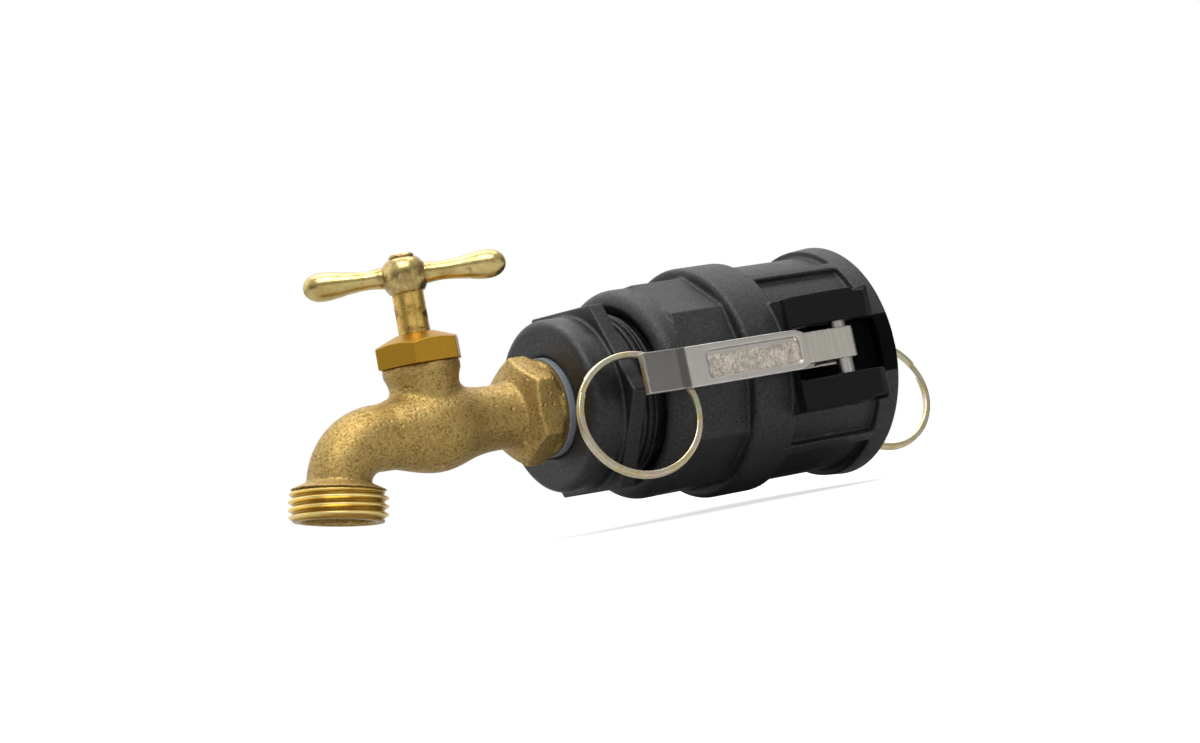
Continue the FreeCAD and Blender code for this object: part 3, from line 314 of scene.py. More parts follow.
rubber, tree, shader, place = finish_of("nitrile_rubber")
bloom = placed_group(tree, grain_group, place, Fine=3000.0, Coarse=180.0, Share=0.5)
tone = ramp(tree, bloom.outputs["Patch"], [(0.35, GASKET_COLOUR), (0.7, (0.045, 0.045, 0.046, 1.0))])
bump = node(tree, "Bump", [(bloom.outputs["Height"], "Height")], i_Strength=0.2, i_Distance=0.0001)
tree.links.new(tone.outputs["Color"], shader.inputs["Base Color"])
tree.links.new(bump.outputs["Normal"], shader.inputs["Normal"])
shader.inputs["Roughness"].default_value = 0.72

gasket = soften(solid_copy("coupler_gasket", "socket_gasket"), GASKET_VOXEL, 2, 0.6)
use(gasket, rubber, "coupler", "coupler_gasket", slot="black_rubber")


# Pivot pins: drawn steel rods pressed through each pair of ears.
# Only the short stretches beside the lever are seen.

PIN_COLOUR = (0.56, 0.54, 0.51, 1.0)
PIN_VOXEL = 0.00025

pin_steel, tree, shader, place = finish_of("drawn_steel")
streak = node(tree, "Mapping", [(place, "Vector")], vector_type="POINT")
streak.inputs["Scale"].default_value = (1.0, 1.0, 0.05)
lines = node(tree, "TexNoise", [(streak.outputs["Vector"], "Vector")], i_Scale=3000.0, i_Detail=3.0)
tone = ramp(tree, lines.outputs["Fac"], [(0.3, (0.42, 0.40, 0.37)), (0.65, PIN_COLOUR)])
bump = node(tree, "Bump", [(lines.outputs["Fac"], "Height")], i_Strength=0.12, i_Distance=0.00005)
tree.links.new(tone.outputs["Color"], shader.inputs["Base Color"])
tree.links.new(bump.outputs["Normal"], shader.inputs["Normal"])
shader.inputs["Metallic"].default_value = 1.0
shader.inputs["Roughness"].default_value = 0.34

for side in ("near", "far"):
    pin = soften(solid_copy(side + "_pivot_pin", side + "_pin"), PIN_VOXEL, 2)
    use(pin, pin_steel, "coupler", side + "_pivot_pin", slot="pin_steel")


# Cam levers: investment-cast stainless steel, tumbled bright, with a cam on the pin.
# The tray in the handle keeps the grain of the casting, and the neck is belt-ground across.

LEVER_VOXEL = 0.00026
STEEL_PALE = (0.56, 0.53, 0.49, 1.0)
STEEL_DARK = (0.30, 0.275, 0.24, 1.0)
NECK_END = 0.0145
TRAY = (0.0158, 0.0484)
TRAY_HALF = 0.0037
TRAY_FLOOR = 0.0019
TRAY_BACK = 0.0008
BEND = (0.0553, 0.0585)
TIP_END = 0.08


def lever_steel(side):
    """Cast steel with zones told apart in the lever's frame: pin at 0, handle along -X, outside +Y."""
    made, tree, shader, place = finish_of(side + "_lever_steel")
    low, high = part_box(side + "_pivot_pin")
    pin_place = (low + high) / 2
    flip = (1.0, -1.0, 1.0) if side == "near" else (-1.0, 1.0, 1.0)
    moved = node(tree, "VectorMath", [(place, 0)], operation="SUBTRACT")
    moved.inputs[1].default_value = pin_place
    local = node(tree, "Mapping", [(moved.outputs[0], "Vector")], vector_type="POINT")
    local.inputs["Rotation"].default_value = (math.radians(EAR_TURN), 0.0, 0.0)
    turned = node(tree, "VectorMath", [(local.outputs["Vector"], 0)], operation="MULTIPLY")
    turned.inputs[1].default_value = flip
    axes = node(tree, "SeparateXYZ", [(turned.outputs[0], 0)])
    along = node(tree, "Math", [(axes.outputs["X"], 0)], operation="MULTIPLY", i_1=-1.0)
    width = node(tree, "Math", [(axes.outputs["Z"], 0)], operation="ABSOLUTE")

    def within(value, low_edge, high_edge, soft):
        """One between two edges and nought outside them."""
        rise = node(tree, "MapRange", [(value, "Value")], interpolation_type="SMOOTHSTEP",
                    i_From_Min=low_edge - soft, i_From_Max=low_edge + soft)
        fall = node(tree, "MapRange", [(value, "Value")], interpolation_type="SMOOTHSTEP",
                    i_From_Min=high_edge + soft, i_From_Max=high_edge - soft)
        return node(tree, "Math", [(rise.outputs["Result"], 0), (fall.outputs["Result"], 1)],
                    operation="MULTIPLY").outputs[0]

    neck = within(along.outputs[0], -0.006, NECK_END, 0.0006)
    tray_long = within(along.outputs[0], TRAY[0], TRAY[1], 0.0004)
    tray_wide = within(width.outputs[0], -0.01, TRAY_HALF, 0.0003)
    sunk = within(axes.outputs["Y"], TRAY_BACK, TRAY_FLOOR, 0.0002)
    floor_mask = node(tree, "Math", [(tray_long, 0), (tray_wide, 1)], operation="MULTIPLY")
    tray = node(tree, "Math", [(floor_mask.outputs[0], 0), (sunk, 1)], operation="MULTIPLY")

    edge_masks = placed_group(tree, edge_mask_group, place, Start=0.516, End=0.56, Scale=300.0)
    skin = placed_group(tree, grain_group, place, Fine=1500.0, Coarse=420.0, Share=0.45)
    cloudy = node(tree, "TexNoise", [(place, "Vector")], i_Scale=160.0, i_Detail=4.0)
    tone = ramp(tree, cloudy.outputs["Fac"], [(0.3, (0.50, 0.475, 0.44)), (0.7, STEEL_PALE)])
    grimy = ramp(tree, skin.outputs["Height"], [(0.36, STEEL_DARK), (0.60, (0.86, 0.78, 0.67))])
    floored = node(tree, "Mix", [(tray.outputs[0], 0), (tone.outputs["Color"], 6),
                                 (grimy.outputs["Color"], 7)], data_type="RGBA")
    dark = node(tree, "Math", [(edge_masks.outputs["Hollow"], 0)], operation="MULTIPLY", i_1=0.75)
    dirty = node(tree, "Mix", [(dark.outputs[0], 0), (floored.outputs[2], 6)], data_type="RGBA",
                 i_7=(0.16, 0.125, 0.085, 1.0))
    # painted highlight: on the level part of the lever, the edges that bend outwards are painted near white
    slanted = within(along.outputs[0], BEND[0], TIP_END, 0.0004)
    level_part = node(tree, "Math", [(slanted, 1)], operation="SUBTRACT", i_0=1.0)
    edge_wear_and_highlight = node(tree, "Math", [(edge_masks.outputs["Mask"], 0), (level_part.outputs[0], 1)],
                  operation="MULTIPLY")
    bright = node(tree, "Mix", [(edge_wear_and_highlight.outputs[0], 0), (dirty.outputs[2], 6)], data_type="RGBA",
                  i_7=(0.97, 0.94, 0.89, 1.0))
    # painted shade: a dark band at the bend, and a darker tip beyond it where the lever slants away from the
    # light
    bent = within(along.outputs[0], BEND[0], BEND[1], 0.0004)
    beyond = within(along.outputs[0], BEND[1], TIP_END, 0.0004)
    tip_shade = node(tree, "Math", [(beyond, 0)], operation="MULTIPLY", i_1=0.28)
    shade = node(tree, "Math", [(bent, 0), (tip_shade.outputs[0], 2)], operation="MULTIPLY_ADD", i_1=0.66)
    bend_and_tip_shaded = node(tree, "Mix", [(shade.outputs[0], 0), (bright.outputs[2], 6)], data_type="RGBA",
                  i_7=(0.14, 0.135, 0.13, 1.0))

    ground = node(tree, "Mapping", [(turned.outputs[0], "Vector")], vector_type="POINT")
    ground.inputs["Scale"].default_value = (1.0, 0.02, 0.02)
    lines = node(tree, "TexNoise", [(ground.outputs["Vector"], "Vector")], i_Scale=2600.0, i_Detail=4.0,
                 i_Roughness=0.7)
    line_tone = ramp(tree, lines.outputs["Fac"], [(0.3, (0.40, 0.38, 0.335)), (0.68, (0.60, 0.57, 0.51))])
    necked = node(tree, "Mix", [(neck, 0), (bend_and_tip_shaded.outputs[2], 6), (line_tone.outputs["Color"], 7)],
                  data_type="RGBA")
    rough_floor = node(tree, "MapRange", [(tray.outputs[0], "Value")], i_To_Min=0.30, i_To_Max=0.50)
    rough = node(tree, "MapRange", [(neck, "Value"), (rough_floor.outputs["Result"], "To Min")],
                 i_To_Max=0.36)
    cast = node(tree, "Math", [(skin.outputs["Height"], 0), (rough_floor.outputs["Result"], 1)],
                operation="MULTIPLY")
    relief = node(tree, "Mix", [(neck, 0), (cast.outputs[0], 2), (lines.outputs["Fac"], 3)],
                  data_type="FLOAT")
    bump = node(tree, "Bump", [(relief.outputs[0], "Height")], i_Strength=0.35, i_Distance=0.00008)
    tree.links.new(necked.outputs[2], shader.inputs["Base Color"])
    tree.links.new(rough.outputs["Result"], shader.inputs["Roughness"])
    tree.links.new(bump.outputs["Normal"], shader.inputs["Normal"])
    shader.inputs["Metallic"].default_value = 1.0
    return made


for side in ("near", "far"):
    lever = soften(solid_copy(side + "_cam_lever", side + "_lever_casting"), LEVER_VOXEL, 3)
    use(lever, lever_steel(side), side + "_lever", side + "_cam_lever", slot="lever_steel")


# Pull rings: split rings of two turns of flat spring wire, zinc plated and passivated yellow.
# Each turn lies flat, and the wire steps from one to the other in a short slope.

RING_INNER = 0.01698
RING_OUTER = 0.01725
WIRE_WIDE = 0.00176
WIRE_HIGH = 0.00108
WIRE_CORNER = 0.00038
RING_STEP = 0.0011
RING_TURNS = 1.96
RING_POINTS = 260
STEP_SHARE = (0.455, 0.545)
RING_ENDS = (("near", 136.4), ("far", 12.4))
ZINC_PALE = (0.66, 0.61, 0.45, 1.0)
ZINC_GOLD = (0.62, 0.50, 0.25, 1.0)
ZINC_PINK = (0.66, 0.48, 0.40, 1.0)
ZINC_GREEN = (0.53, 0.57, 0.38, 1.0)

zinc, tree, shader, place = finish_of("yellow_zinc")
hue = node(tree, "TexNoise", [(place, "Vector")], i_Scale=150.0, i_Detail=3.0)
tint = ramp(tree, hue.outputs["Fac"], [(0.32, ZINC_PINK), (0.42, ZINC_PALE), (0.54, ZINC_GOLD),
                                       (0.62, ZINC_PALE), (0.74, ZINC_GREEN)])
scuff = placed_group(tree, grain_group, place, Fine=2600.0, Coarse=500.0, Share=0.5)
bump = node(tree, "Bump", [(scuff.outputs["Height"], "Height")], i_Strength=0.12, i_Distance=0.00006)
tree.links.new(tint.outputs["Color"], shader.inputs["Base Color"])
tree.links.new(bump.outputs["Normal"], shader.inputs["Normal"])
shader.inputs["Metallic"].default_value = 1.0
shader.inputs["Roughness"].default_value = 0.26


def geometry_tree(name, inputs):
    """A geometry tree with named inputs and one output, and its two end nodes."""
    tree = bpy.data.node_groups.new(name, "GeometryNodeTree")
    tree.interface.new_socket("Geometry", in_out="OUTPUT", socket_type="NodeSocketGeometry")
    for label, kind, value in inputs:
        socket = tree.interface.new_socket(label, in_out="INPUT", socket_type="NodeSocket" + kind)
        if value is not None:
            socket.default_value = value
    return tree, gnode(tree, "NodeGroupInput"), gnode(tree, "NodeGroupOutput")


def end_tree(tree, shape, ins, outs):
    """Ends a geometry tree: the shape is made real and takes the finish."""
    real = gnode(tree, "GeometryNodeRealizeInstances", [(shape, "Geometry")])
    painted = gnode(tree, "GeometryNodeSetMaterial", [
        (real.outputs[0], "Geometry"), (ins.outputs["Finish"], "Material")])
    tree.links.new(painted.outputs[0], outs.inputs[0])


coil_tree, ins, outs = geometry_tree("split_ring", (
    ("Inner", "Float", RING_INNER), ("Outer", "Float", RING_OUTER), ("Wire Wide", "Float", WIRE_WIDE),
    ("Wire High", "Float", WIRE_HIGH), ("Corner", "Float", WIRE_CORNER), ("Step", "Float", RING_STEP),
    ("Turns", "Float", RING_TURNS), ("Points", "Int", RING_POINTS), ("Finish", "Material", None)))
coil = gnode(coil_tree, "GeometryNodeCurveSpiral", [
    (ins.outputs["Points"], "Resolution"), (ins.outputs["Turns"], "Rotations"),
    (ins.outputs["Outer"], "Start Radius"), (ins.outputs["Inner"], "End Radius")], i_Height=0.0)
share = gnode(coil_tree, "GeometryNodeSplineParameter")
climb = gnode(coil_tree, "ShaderNodeMapRange", [(share.outputs["Factor"], "Value")],
              interpolation_type="SMOOTHSTEP", i_From_Min=STEP_SHARE[0], i_From_Max=STEP_SHARE[1],
              i_To_Min=-0.5, i_To_Max=0.5)
rise = gnode(coil_tree, "ShaderNodeMath", [(climb.outputs["Result"], 0), (ins.outputs["Step"], 1)],
             operation="MULTIPLY")
lift = gnode(coil_tree, "ShaderNodeCombineXYZ", [(rise.outputs[0], "Z")])
raised = gnode(coil_tree, "GeometryNodeSetPosition", [
    (coil.outputs[0], "Geometry"), (lift.outputs[0], "Offset")])
upright = gnode(coil_tree, "GeometryNodeSetCurveNormal", [(raised.outputs[0], "Curve")], mode="Z_UP")
section = gnode(coil_tree, "GeometryNodeCurvePrimitiveQuadrilateral", [
    (ins.outputs["Wire Wide"], "Width"), (ins.outputs["Wire High"], "Height")])
wire = gnode(coil_tree, "GeometryNodeFilletCurve", [
    (section.outputs[0], "Curve"), (ins.outputs["Corner"], "Radius")], mode="POLY", i_Count=5)
swept = gnode(coil_tree, "GeometryNodeCurveToMesh", [
    (upright.outputs[0], "Curve"), (wire.outputs[0], "Profile Curve")])
swept.inputs["Fill Caps"].default_value = True
shaded = gnode(coil_tree, "GeometryNodeSetShadeSmooth", [(swept.outputs[0], "Geometry")])
end_tree(coil_tree, shaded.outputs[0], ins, outs)


def grown(name, tree, **values):
    """A mesh object from a geometry tree with these input values."""
    piece = bpy.data.objects.new(name, bpy.data.meshes.new(name))
    bpy.context.scene.collection.objects.link(piece)
    maker = piece.modifiers.new("maker", "NODES")
    maker.node_group = tree
    known = {item.name: item.identifier for item in tree.interface.items_tree if item.in_out == "INPUT"}
    for label, value in values.items():
        maker[known[label]] = value
    bpy.context.view_layer.update()
    return settle(piece)


def outward(mesh):
    """Welds the mesh and turns all its faces outwards."""
    work = bmesh.new()
    work.from_mesh(mesh)
    bmesh.ops.remove_doubles(work, verts=work.verts, dist=2e-6)
    bmesh.ops.recalc_face_normals(work, faces=work.faces)
    work.to_mesh(mesh)
    work.free()


def lie_of(cad_name):
    """Centre and flat direction of a ring, from its solid."""
    points = np.array([v.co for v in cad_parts[cad_name].data.vertices])
    low, high = points.min(0), points.max(0)
    centre = (low + high) / 2
    spread = np.linalg.eigh(np.cov((points - points.mean(0)).T))
    return Vector(centre), Vector(spread[1][:, 0])


# where round the ring the wire's first end lies, in degrees from its level radius
for side, end_angle in RING_ENDS:
    centre, across = lie_of(side + "_pull_ring")
    if across.y > 0:
        across = -across
    up = (Vector((0, 0, 1)) - across * across.z).normalized()
    right = up.cross(across)
    turn = Matrix((right, up, across)).transposed().to_4x4()
    ring = grown(side + "_split_ring", coil_tree, Finish=zinc)
    outward(ring.data)
    first_end = Matrix.Rotation(math.radians(end_angle), 4, "Z")
    ring.data.transform(Matrix.Translation(centre) @ turn @ first_end)
    use(ring, zinc, side + "_ring", side + "_pull_ring", slot="plated_wire")


# Reducing bushing: a hexagon plug of the same black plastic with a tapered thread outside.
# It closes the coupler's rear and takes the tap. The moulding's flash leaves small nubs.

BUSHING_VOXEL = 0.00042
BUSHING_THREAD = (-0.0850, -0.0765)
BUSHING_ROOT = 0.02235
BUSHING_CREST = 0.02385
BUSHING_PITCH = 0.0022
BUSHING_THREAD_BORE = 0.0215
THREAD_RUN_IN = 0.0012
THREAD_FLAT = 0.18

bushing_plastic = plastic("bushing_plastic", (0.0070, 0.0073, 0.0081, 1.0), (0.046, 0.047, 0.049, 1.0),
                          (0.38, 0.52), 0.55)
bushing = soften(solid_copy("reducing_bushing", "bushing_moulding"), BUSHING_VOXEL, 2)
use(bushing, bushing_plastic, "coupler", "reducing_bushing", slot="black_plastic")

thread_tree, ins, outs = geometry_tree("screw_thread", (
    ("Root", "Float", BUSHING_ROOT), ("Crest", "Float", BUSHING_CREST), ("Pitch", "Float", BUSHING_PITCH),
    ("Length", "Float", 0.009), ("Run In", "Float", THREAD_RUN_IN), ("Flat", "Float", THREAD_FLAT),
    ("Around", "Int", 180), ("Along", "Int", 90), ("Finish", "Material", None)))


def calc(kind, *terms):
    """The output of a math node on numbers and sockets."""
    made = gnode(thread_tree, "ShaderNodeMath", operation=kind)
    for place_in, term in enumerate(terms):
        if isinstance(term, (int, float)):
            made.inputs[place_in].default_value = term
        else:
            thread_tree.links.new(term, made.inputs[place_in])
    return made.outputs[0]


sheet = gnode(thread_tree, "GeometryNodeMeshGrid", [
    (ins.outputs["Around"], "Vertices X"), (ins.outputs["Along"], "Vertices Y")], i_Size_X=1.0, i_Size_Y=1.0)
sheet_point = gnode(thread_tree, "GeometryNodeInputPosition").outputs[0]
where = gnode(thread_tree, "ShaderNodeSeparateXYZ", [(sheet_point, 0)])
turn_share = calc("ADD", where.outputs["X"], 0.5)
place_along = calc("MULTIPLY", calc("ADD", where.outputs["Y"], 0.5), ins.outputs["Length"])
angle = calc("MULTIPLY", turn_share, 2 * math.pi)
helix = calc("SUBTRACT", calc("DIVIDE", place_along, ins.outputs["Pitch"]), turn_share)
saw = calc("ABSOLUTE", calc("SUBTRACT", calc("FRACT", calc("ADD", helix, 10.0)), 0.5))
flank = calc("SUBTRACT", calc("MULTIPLY", saw, 2.0), ins.outputs["Flat"])
slope = calc("DIVIDE", flank, calc("SUBTRACT", 1.0, calc("MULTIPLY", ins.outputs["Flat"], 2.0)))
ridge_shape = gnode(thread_tree, "ShaderNodeMapRange", [(slope, "Value")], interpolation_type="LINEAR")
from_start = calc("DIVIDE", place_along, ins.outputs["Run In"])
from_end = calc("DIVIDE", calc("SUBTRACT", ins.outputs["Length"], place_along), ins.outputs["Run In"])
fade = calc("MAXIMUM", 0.0, calc("MINIMUM", 1.0, calc("MINIMUM", from_start, from_end)))
depth = calc("SUBTRACT", ins.outputs["Crest"], ins.outputs["Root"])
ridge_height = calc("MULTIPLY", calc("MULTIPLY", depth, ridge_shape.outputs[0]), fade)
radius = calc("ADD", ins.outputs["Root"], ridge_height)
spot = gnode(thread_tree, "ShaderNodeCombineXYZ", [
    (calc("MULTIPLY", radius, calc("COSINE", angle)), "X"),
    (calc("MULTIPLY", radius, calc("SINE", angle)), "Y"),
    (place_along, "Z")])
rolled = gnode(thread_tree, "GeometryNodeSetPosition", [
    (sheet.outputs[0], "Geometry"), (spot.outputs[0], "Position")])
closed = gnode(thread_tree, "GeometryNodeMergeByDistance", [(rolled.outputs[0], "Geometry")])
closed.inputs["Distance"].default_value = 2e-6
end_tree(thread_tree, closed.outputs[0], ins, outs)


def give_wall(mesh, bore):
    """Closes a threaded sleeve with an inner wall of this radius and flat ends."""
    work = bmesh.new()
    work.from_mesh(mesh)
    rims = [edge for edge in work.edges if edge.is_boundary]
    grown_edges = bmesh.ops.extrude_edge_only(work, edges=rims)["geom"]
    inner = [item for item in grown_edges if isinstance(item, bmesh.types.BMVert)]
    for vert in inner:
        size = math.hypot(vert.co.x, vert.co.y)
        vert.co.x *= bore / size
        vert.co.y *= bore / size
    loops = [edge for edge in work.edges if edge.is_boundary]
    bmesh.ops.bridge_loops(work, edges=loops)
    bmesh.ops.recalc_face_normals(work, faces=work.faces)
    for face in work.faces:
        face.smooth = True
    work.to_mesh(mesh)
    work.free()


bushing_thread = grown("bushing_thread", thread_tree, Root=BUSHING_ROOT, Crest=BUSHING_CREST,
                       Pitch=BUSHING_PITCH, Length=BUSHING_THREAD[1] - BUSHING_THREAD[0],
                       Around=240, Along=96, Finish=bushing_plastic)
give_wall(bushing_thread.data, BUSHING_THREAD_BORE)
laid = Matrix.Rotation(math.radians(90), 4, "Y")
bushing_thread.data.transform(Matrix.Translation((BUSHING_THREAD[0], 0, 0)) @ laid)
use(bushing_thread, bushing_plastic, "coupler", slot="black_plastic")


# Seal washer: a blue-grey fibre ring squeezed between the tap's flange and the bushing.
# Its rim is plain and a little ragged.

FIBRE_COLOUR = (0.215, 0.235, 0.265, 1.0)
FIBRE_VOXEL = 0.0002

fibre, tree, shader, place = finish_of("grey_fibre")
felt = placed_group(tree, grain_group, place, Fine=2200.0, Coarse=300.0, Share=0.5)
tone = ramp(tree, felt.outputs["Height"], [(0.3, (0.155, 0.172, 0.200, 1.0)), (0.7, FIBRE_COLOUR)])
bump = node(tree, "Bump", [(felt.outputs["Height"], "Height")], i_Strength=0.3, i_Distance=0.0001)
tree.links.new(tone.outputs["Color"], shader.inputs["Base Color"])
tree.links.new(bump.outputs["Normal"], shader.inputs["Normal"])
shader.inputs["Roughness"].default_value = 0.55

washer = soften(solid_copy("inlet_seal_washer", "fibre_washer"), FIBRE_VOXEL, 2)
use(washer, fibre, "coupler", "inlet_seal_washer", slot="grey_fibre")


# Tap body: yellow brass cast in sand, tumbled, and left as cast but for its screwed ends.
# The skin is sandy, the corners are round, and the spout's end is turned and screwed.

TAP_VOXEL = 0.00046
BRASS_LIGHT = (0.515, 0.360, 0.135, 1.0)
BRASS_MID = (0.42, 0.288, 0.095, 1.0)
BRASS_DARK = (0.235, 0.152, 0.046, 1.0)
SPOUT_END = Vector((-0.17070, 0.0, -0.02091))
SPOUT_TILT = math.radians(11.8)
SPOUT_WAY = Vector((-math.sin(SPOUT_TILT), 0.0, -math.cos(SPOUT_TILT)))
HOSE_LENGTH = 0.0084
HOSE_ROOT = 0.0122
HOSE_CREST = 0.01342
HOSE_PITCH = 0.002209
HOSE_THREAD_BORE = 0.0101
BARREL_WALL = 0.0112
THREAD_SUNK = 0.0004
END_SUNK = 0.0006
FLANGE_BACK = -0.09295
HEXAGON_BACK = -0.0995

cast_brass, tree, shader, place = finish_of("sand_cast_brass")
along_x = node(tree, "SeparateXYZ", [(place, 0)])
faced = node(tree, "MapRange", [(along_x.outputs["X"], "Value")], i_From_Min=FLANGE_BACK - 0.0001,
             i_From_Max=FLANGE_BACK + 0.0001)
sand = placed_group(tree, grain_group, place, Fine=1500.0, Coarse=420.0, Share=0.22)
edge_masks = placed_group(tree, edge_mask_group, place, Start=0.515, End=0.60, Scale=600.0)
grainy = ramp(tree, sand.outputs["Height"], [(0.38, BRASS_DARK), (0.48, BRASS_MID), (0.59, BRASS_LIGHT)])
cloud = node(tree, "TexNoise", [(place, "Vector")], i_Scale=95.0, i_Detail=3.0)
warm = ramp(tree, cloud.outputs["Fac"], [(0.35, (0.94, 0.92, 0.84)), (0.65, (1.0, 1.0, 1.0))])
toned = node(tree, "Mix", [(grainy.outputs["Color"], 6), (warm.outputs["Color"], 7)], data_type="RGBA",
             blend_type="MULTIPLY", i_0=1.0)
tips = node(tree, "Math", [(edge_masks.outputs["Mask"], 0)], operation="MULTIPLY", i_1=0.55)
edge_wear_and_highlight = node(tree, "Mix", [(tips.outputs[0], 0), (toned.outputs[2], 6)], data_type="RGBA",
              i_7=(0.80, 0.60, 0.27, 1.0))
hollows = node(tree, "Math", [(edge_masks.outputs["Hollow"], 0)], operation="MULTIPLY", i_1=0.6)
brown = node(tree, "Mix", [(hollows.outputs[0], 0), (edge_wear_and_highlight.outputs[2], 6)], data_type="RGBA",
             i_7=(0.17, 0.105, 0.035, 1.0))
pits = node(tree, "TexVoronoi", [(place, "Vector")], i_Scale=420.0)
pit = node(tree, "MapRange", [(pits.outputs["Distance"], "Value")], i_From_Min=0.10, i_From_Max=0.22,
           i_To_Min=-0.8, i_To_Max=0.0)
relief = node(tree, "Math", [(pit.outputs["Result"], 0), (sand.outputs["Height"], 1)], operation="ADD")
# painted shade: the tap's hexagon is painted a deeper brown, where it faces away from the light
at_hexagon = node(tree, "MapRange", [(along_x.outputs["X"], "Value")], interpolation_type="SMOOTHSTEP",
                  i_From_Min=HEXAGON_BACK - 0.0015, i_From_Max=HEXAGON_BACK + 0.0010, i_To_Max=0.50)
hexagon_shaded = node(tree, "Mix", [(at_hexagon.outputs["Result"], 0), (brown.outputs[2], 6)], data_type="RGBA",
               i_7=(0.235, 0.150, 0.048, 1.0))
evened = node(tree, "MapRange", [(faced.outputs["Result"], "Value")], i_To_Min=0.95, i_To_Max=0.05)
bump = node(tree, "Bump", [(relief.outputs[0], "Height"), (evened.outputs["Result"], "Strength")],
            i_Distance=0.00022)
gloss = node(tree, "MapRange", [(sand.outputs["Height"], "Value")], i_From_Min=0.35, i_From_Max=0.65,
             i_To_Min=0.58, i_To_Max=0.40)
lathe = node(tree, "Mix", [(faced.outputs["Result"], 0), (hexagon_shaded.outputs[2], 6)], data_type="RGBA",
             i_7=(0.74, 0.50, 0.12, 1.0))
shine = node(tree, "Mix", [(faced.outputs["Result"], 0), (gloss.outputs["Result"], 2)],
             data_type="FLOAT", i_3=0.30)
tree.links.new(lathe.outputs[2], shader.inputs["Base Color"])
tree.links.new(shine.outputs[0], shader.inputs["Roughness"])
tree.links.new(bump.outputs["Normal"], shader.inputs["Normal"])
shader.inputs["Metallic"].default_value = 0.9

tap = soften(solid_copy("spigot_body", "tap_casting"), TAP_VOXEL, 3)


def points_of(mesh):
    """The mesh's points as an array."""
    found = np.zeros(len(mesh.vertices) * 3)
    mesh.vertices.foreach_get("co", found)
    return found.reshape(-1, 3)


def put_points(mesh, places):
    """Puts an array of points back into the mesh."""
    mesh.vertices.foreach_set("co", places.ravel())
    mesh.update()


def spout_frame(places):
    """Height above the spout's end and radius about its axis."""
    offset = places - np.array(SPOUT_END)
    height = -(offset @ np.array(SPOUT_WAY))
    centre = offset + np.outer(height, np.array(SPOUT_WAY))
    return height, np.linalg.norm(centre, axis=1), centre


places = points_of(tap.data)
height, out, spoke = spout_frame(places)
barrel = (height < HOSE_LENGTH + 0.0002) & (out > BARREL_WALL)
under_root = HOSE_ROOT - THREAD_SUNK
shrink = np.where(barrel & (out > under_root), under_root / np.maximum(out, 1e-6), 1.0)
places = places + spoke * (shrink - 1.0)[:, None]
below = barrel & (height < END_SUNK)
places[below] -= np.outer(END_SUNK - height[below], np.array(SPOUT_WAY))
put_points(tap.data, places)
use(tap, cast_brass, "coupler", "spigot_body", slot="cast_brass")

threaded_brass, tree, shader, place = finish_of("threaded_brass")
from_end = node(tree, "VectorMath", [(place, 0)], operation="SUBTRACT")
from_end.inputs[1].default_value = SPOUT_END
up_spout = node(tree, "VectorMath", [(from_end.outputs[0], 0)], operation="DOT_PRODUCT")
up_spout.inputs[1].default_value = SPOUT_WAY
on_axis = node(tree, "VectorMath", [(up_spout.outputs["Value"], "Scale")], operation="SCALE")
on_axis.inputs[0].default_value = SPOUT_WAY
off_axis = node(tree, "VectorMath", [(from_end.outputs[0], 0), (on_axis.outputs[0], 1)],
                operation="SUBTRACT")
far_out = node(tree, "VectorMath", [(off_axis.outputs[0], 0)], operation="LENGTH")
# painted shade and painted highlight: by the radius about the spout's axis, the thread's roots are painted
# dark brown and its crests pale gold
mottle = placed_group(tree, grain_group, place, Fine=1500.0, Coarse=300.0, Share=0.6)
level = node(tree, "MapRange", [(mottle.outputs["Height"], "Value")], i_From_Min=0.3, i_From_Max=0.7,
             i_To_Min=-0.00016, i_To_Max=0.00016)
depth_in = node(tree, "Math", [(far_out.outputs["Value"], 0), (level.outputs["Result"], 1)],
                operation="ADD")
tone = ramp(tree, node(tree, "MapRange", [(depth_in.outputs[0], "Value")], i_From_Min=HOSE_ROOT,
                       i_From_Max=HOSE_CREST).outputs["Result"],
            [(0.0, (0.34, 0.20, 0.040)), (0.22, (0.64, 0.44, 0.105)), (0.55, (0.88, 0.66, 0.21)),
             (1.0, (0.95, 0.77, 0.33))])
bump = node(tree, "Bump", [(mottle.outputs["Height"], "Height")], i_Strength=0.18, i_Distance=0.0001)
tree.links.new(tone.outputs["Color"], shader.inputs["Base Color"])
tree.links.new(bump.outputs["Normal"], shader.inputs["Normal"])
shader.inputs["Metallic"].default_value = 1.0
shader.inputs["Roughness"].default_value = 0.30

hose_thread = grown("hose_thread", thread_tree, Root=HOSE_ROOT, Crest=HOSE_CREST, Pitch=HOSE_PITCH,
                    Length=HOSE_LENGTH, Around=200, Along=110, Finish=threaded_brass)
give_wall(hose_thread.data, HOSE_THREAD_BORE)
stand = Vector((0, 0, 1)).rotation_difference(-SPOUT_WAY).to_matrix().to_4x4()
hose_thread.data.transform(Matrix.Translation(SPOUT_END) @ stand)
use(hose_thread, threaded_brass, "coupler", slot="cast_brass")


# Stem and what it carries: a turned brass stem, a rubber washer held by a brass screw.
# The stem shows brown water stains above the nut, and fine turning marks.

STEM_VOXEL = 0.00017
SCREW_VOXEL = 0.00015
SEAT_VOXEL = 0.0002

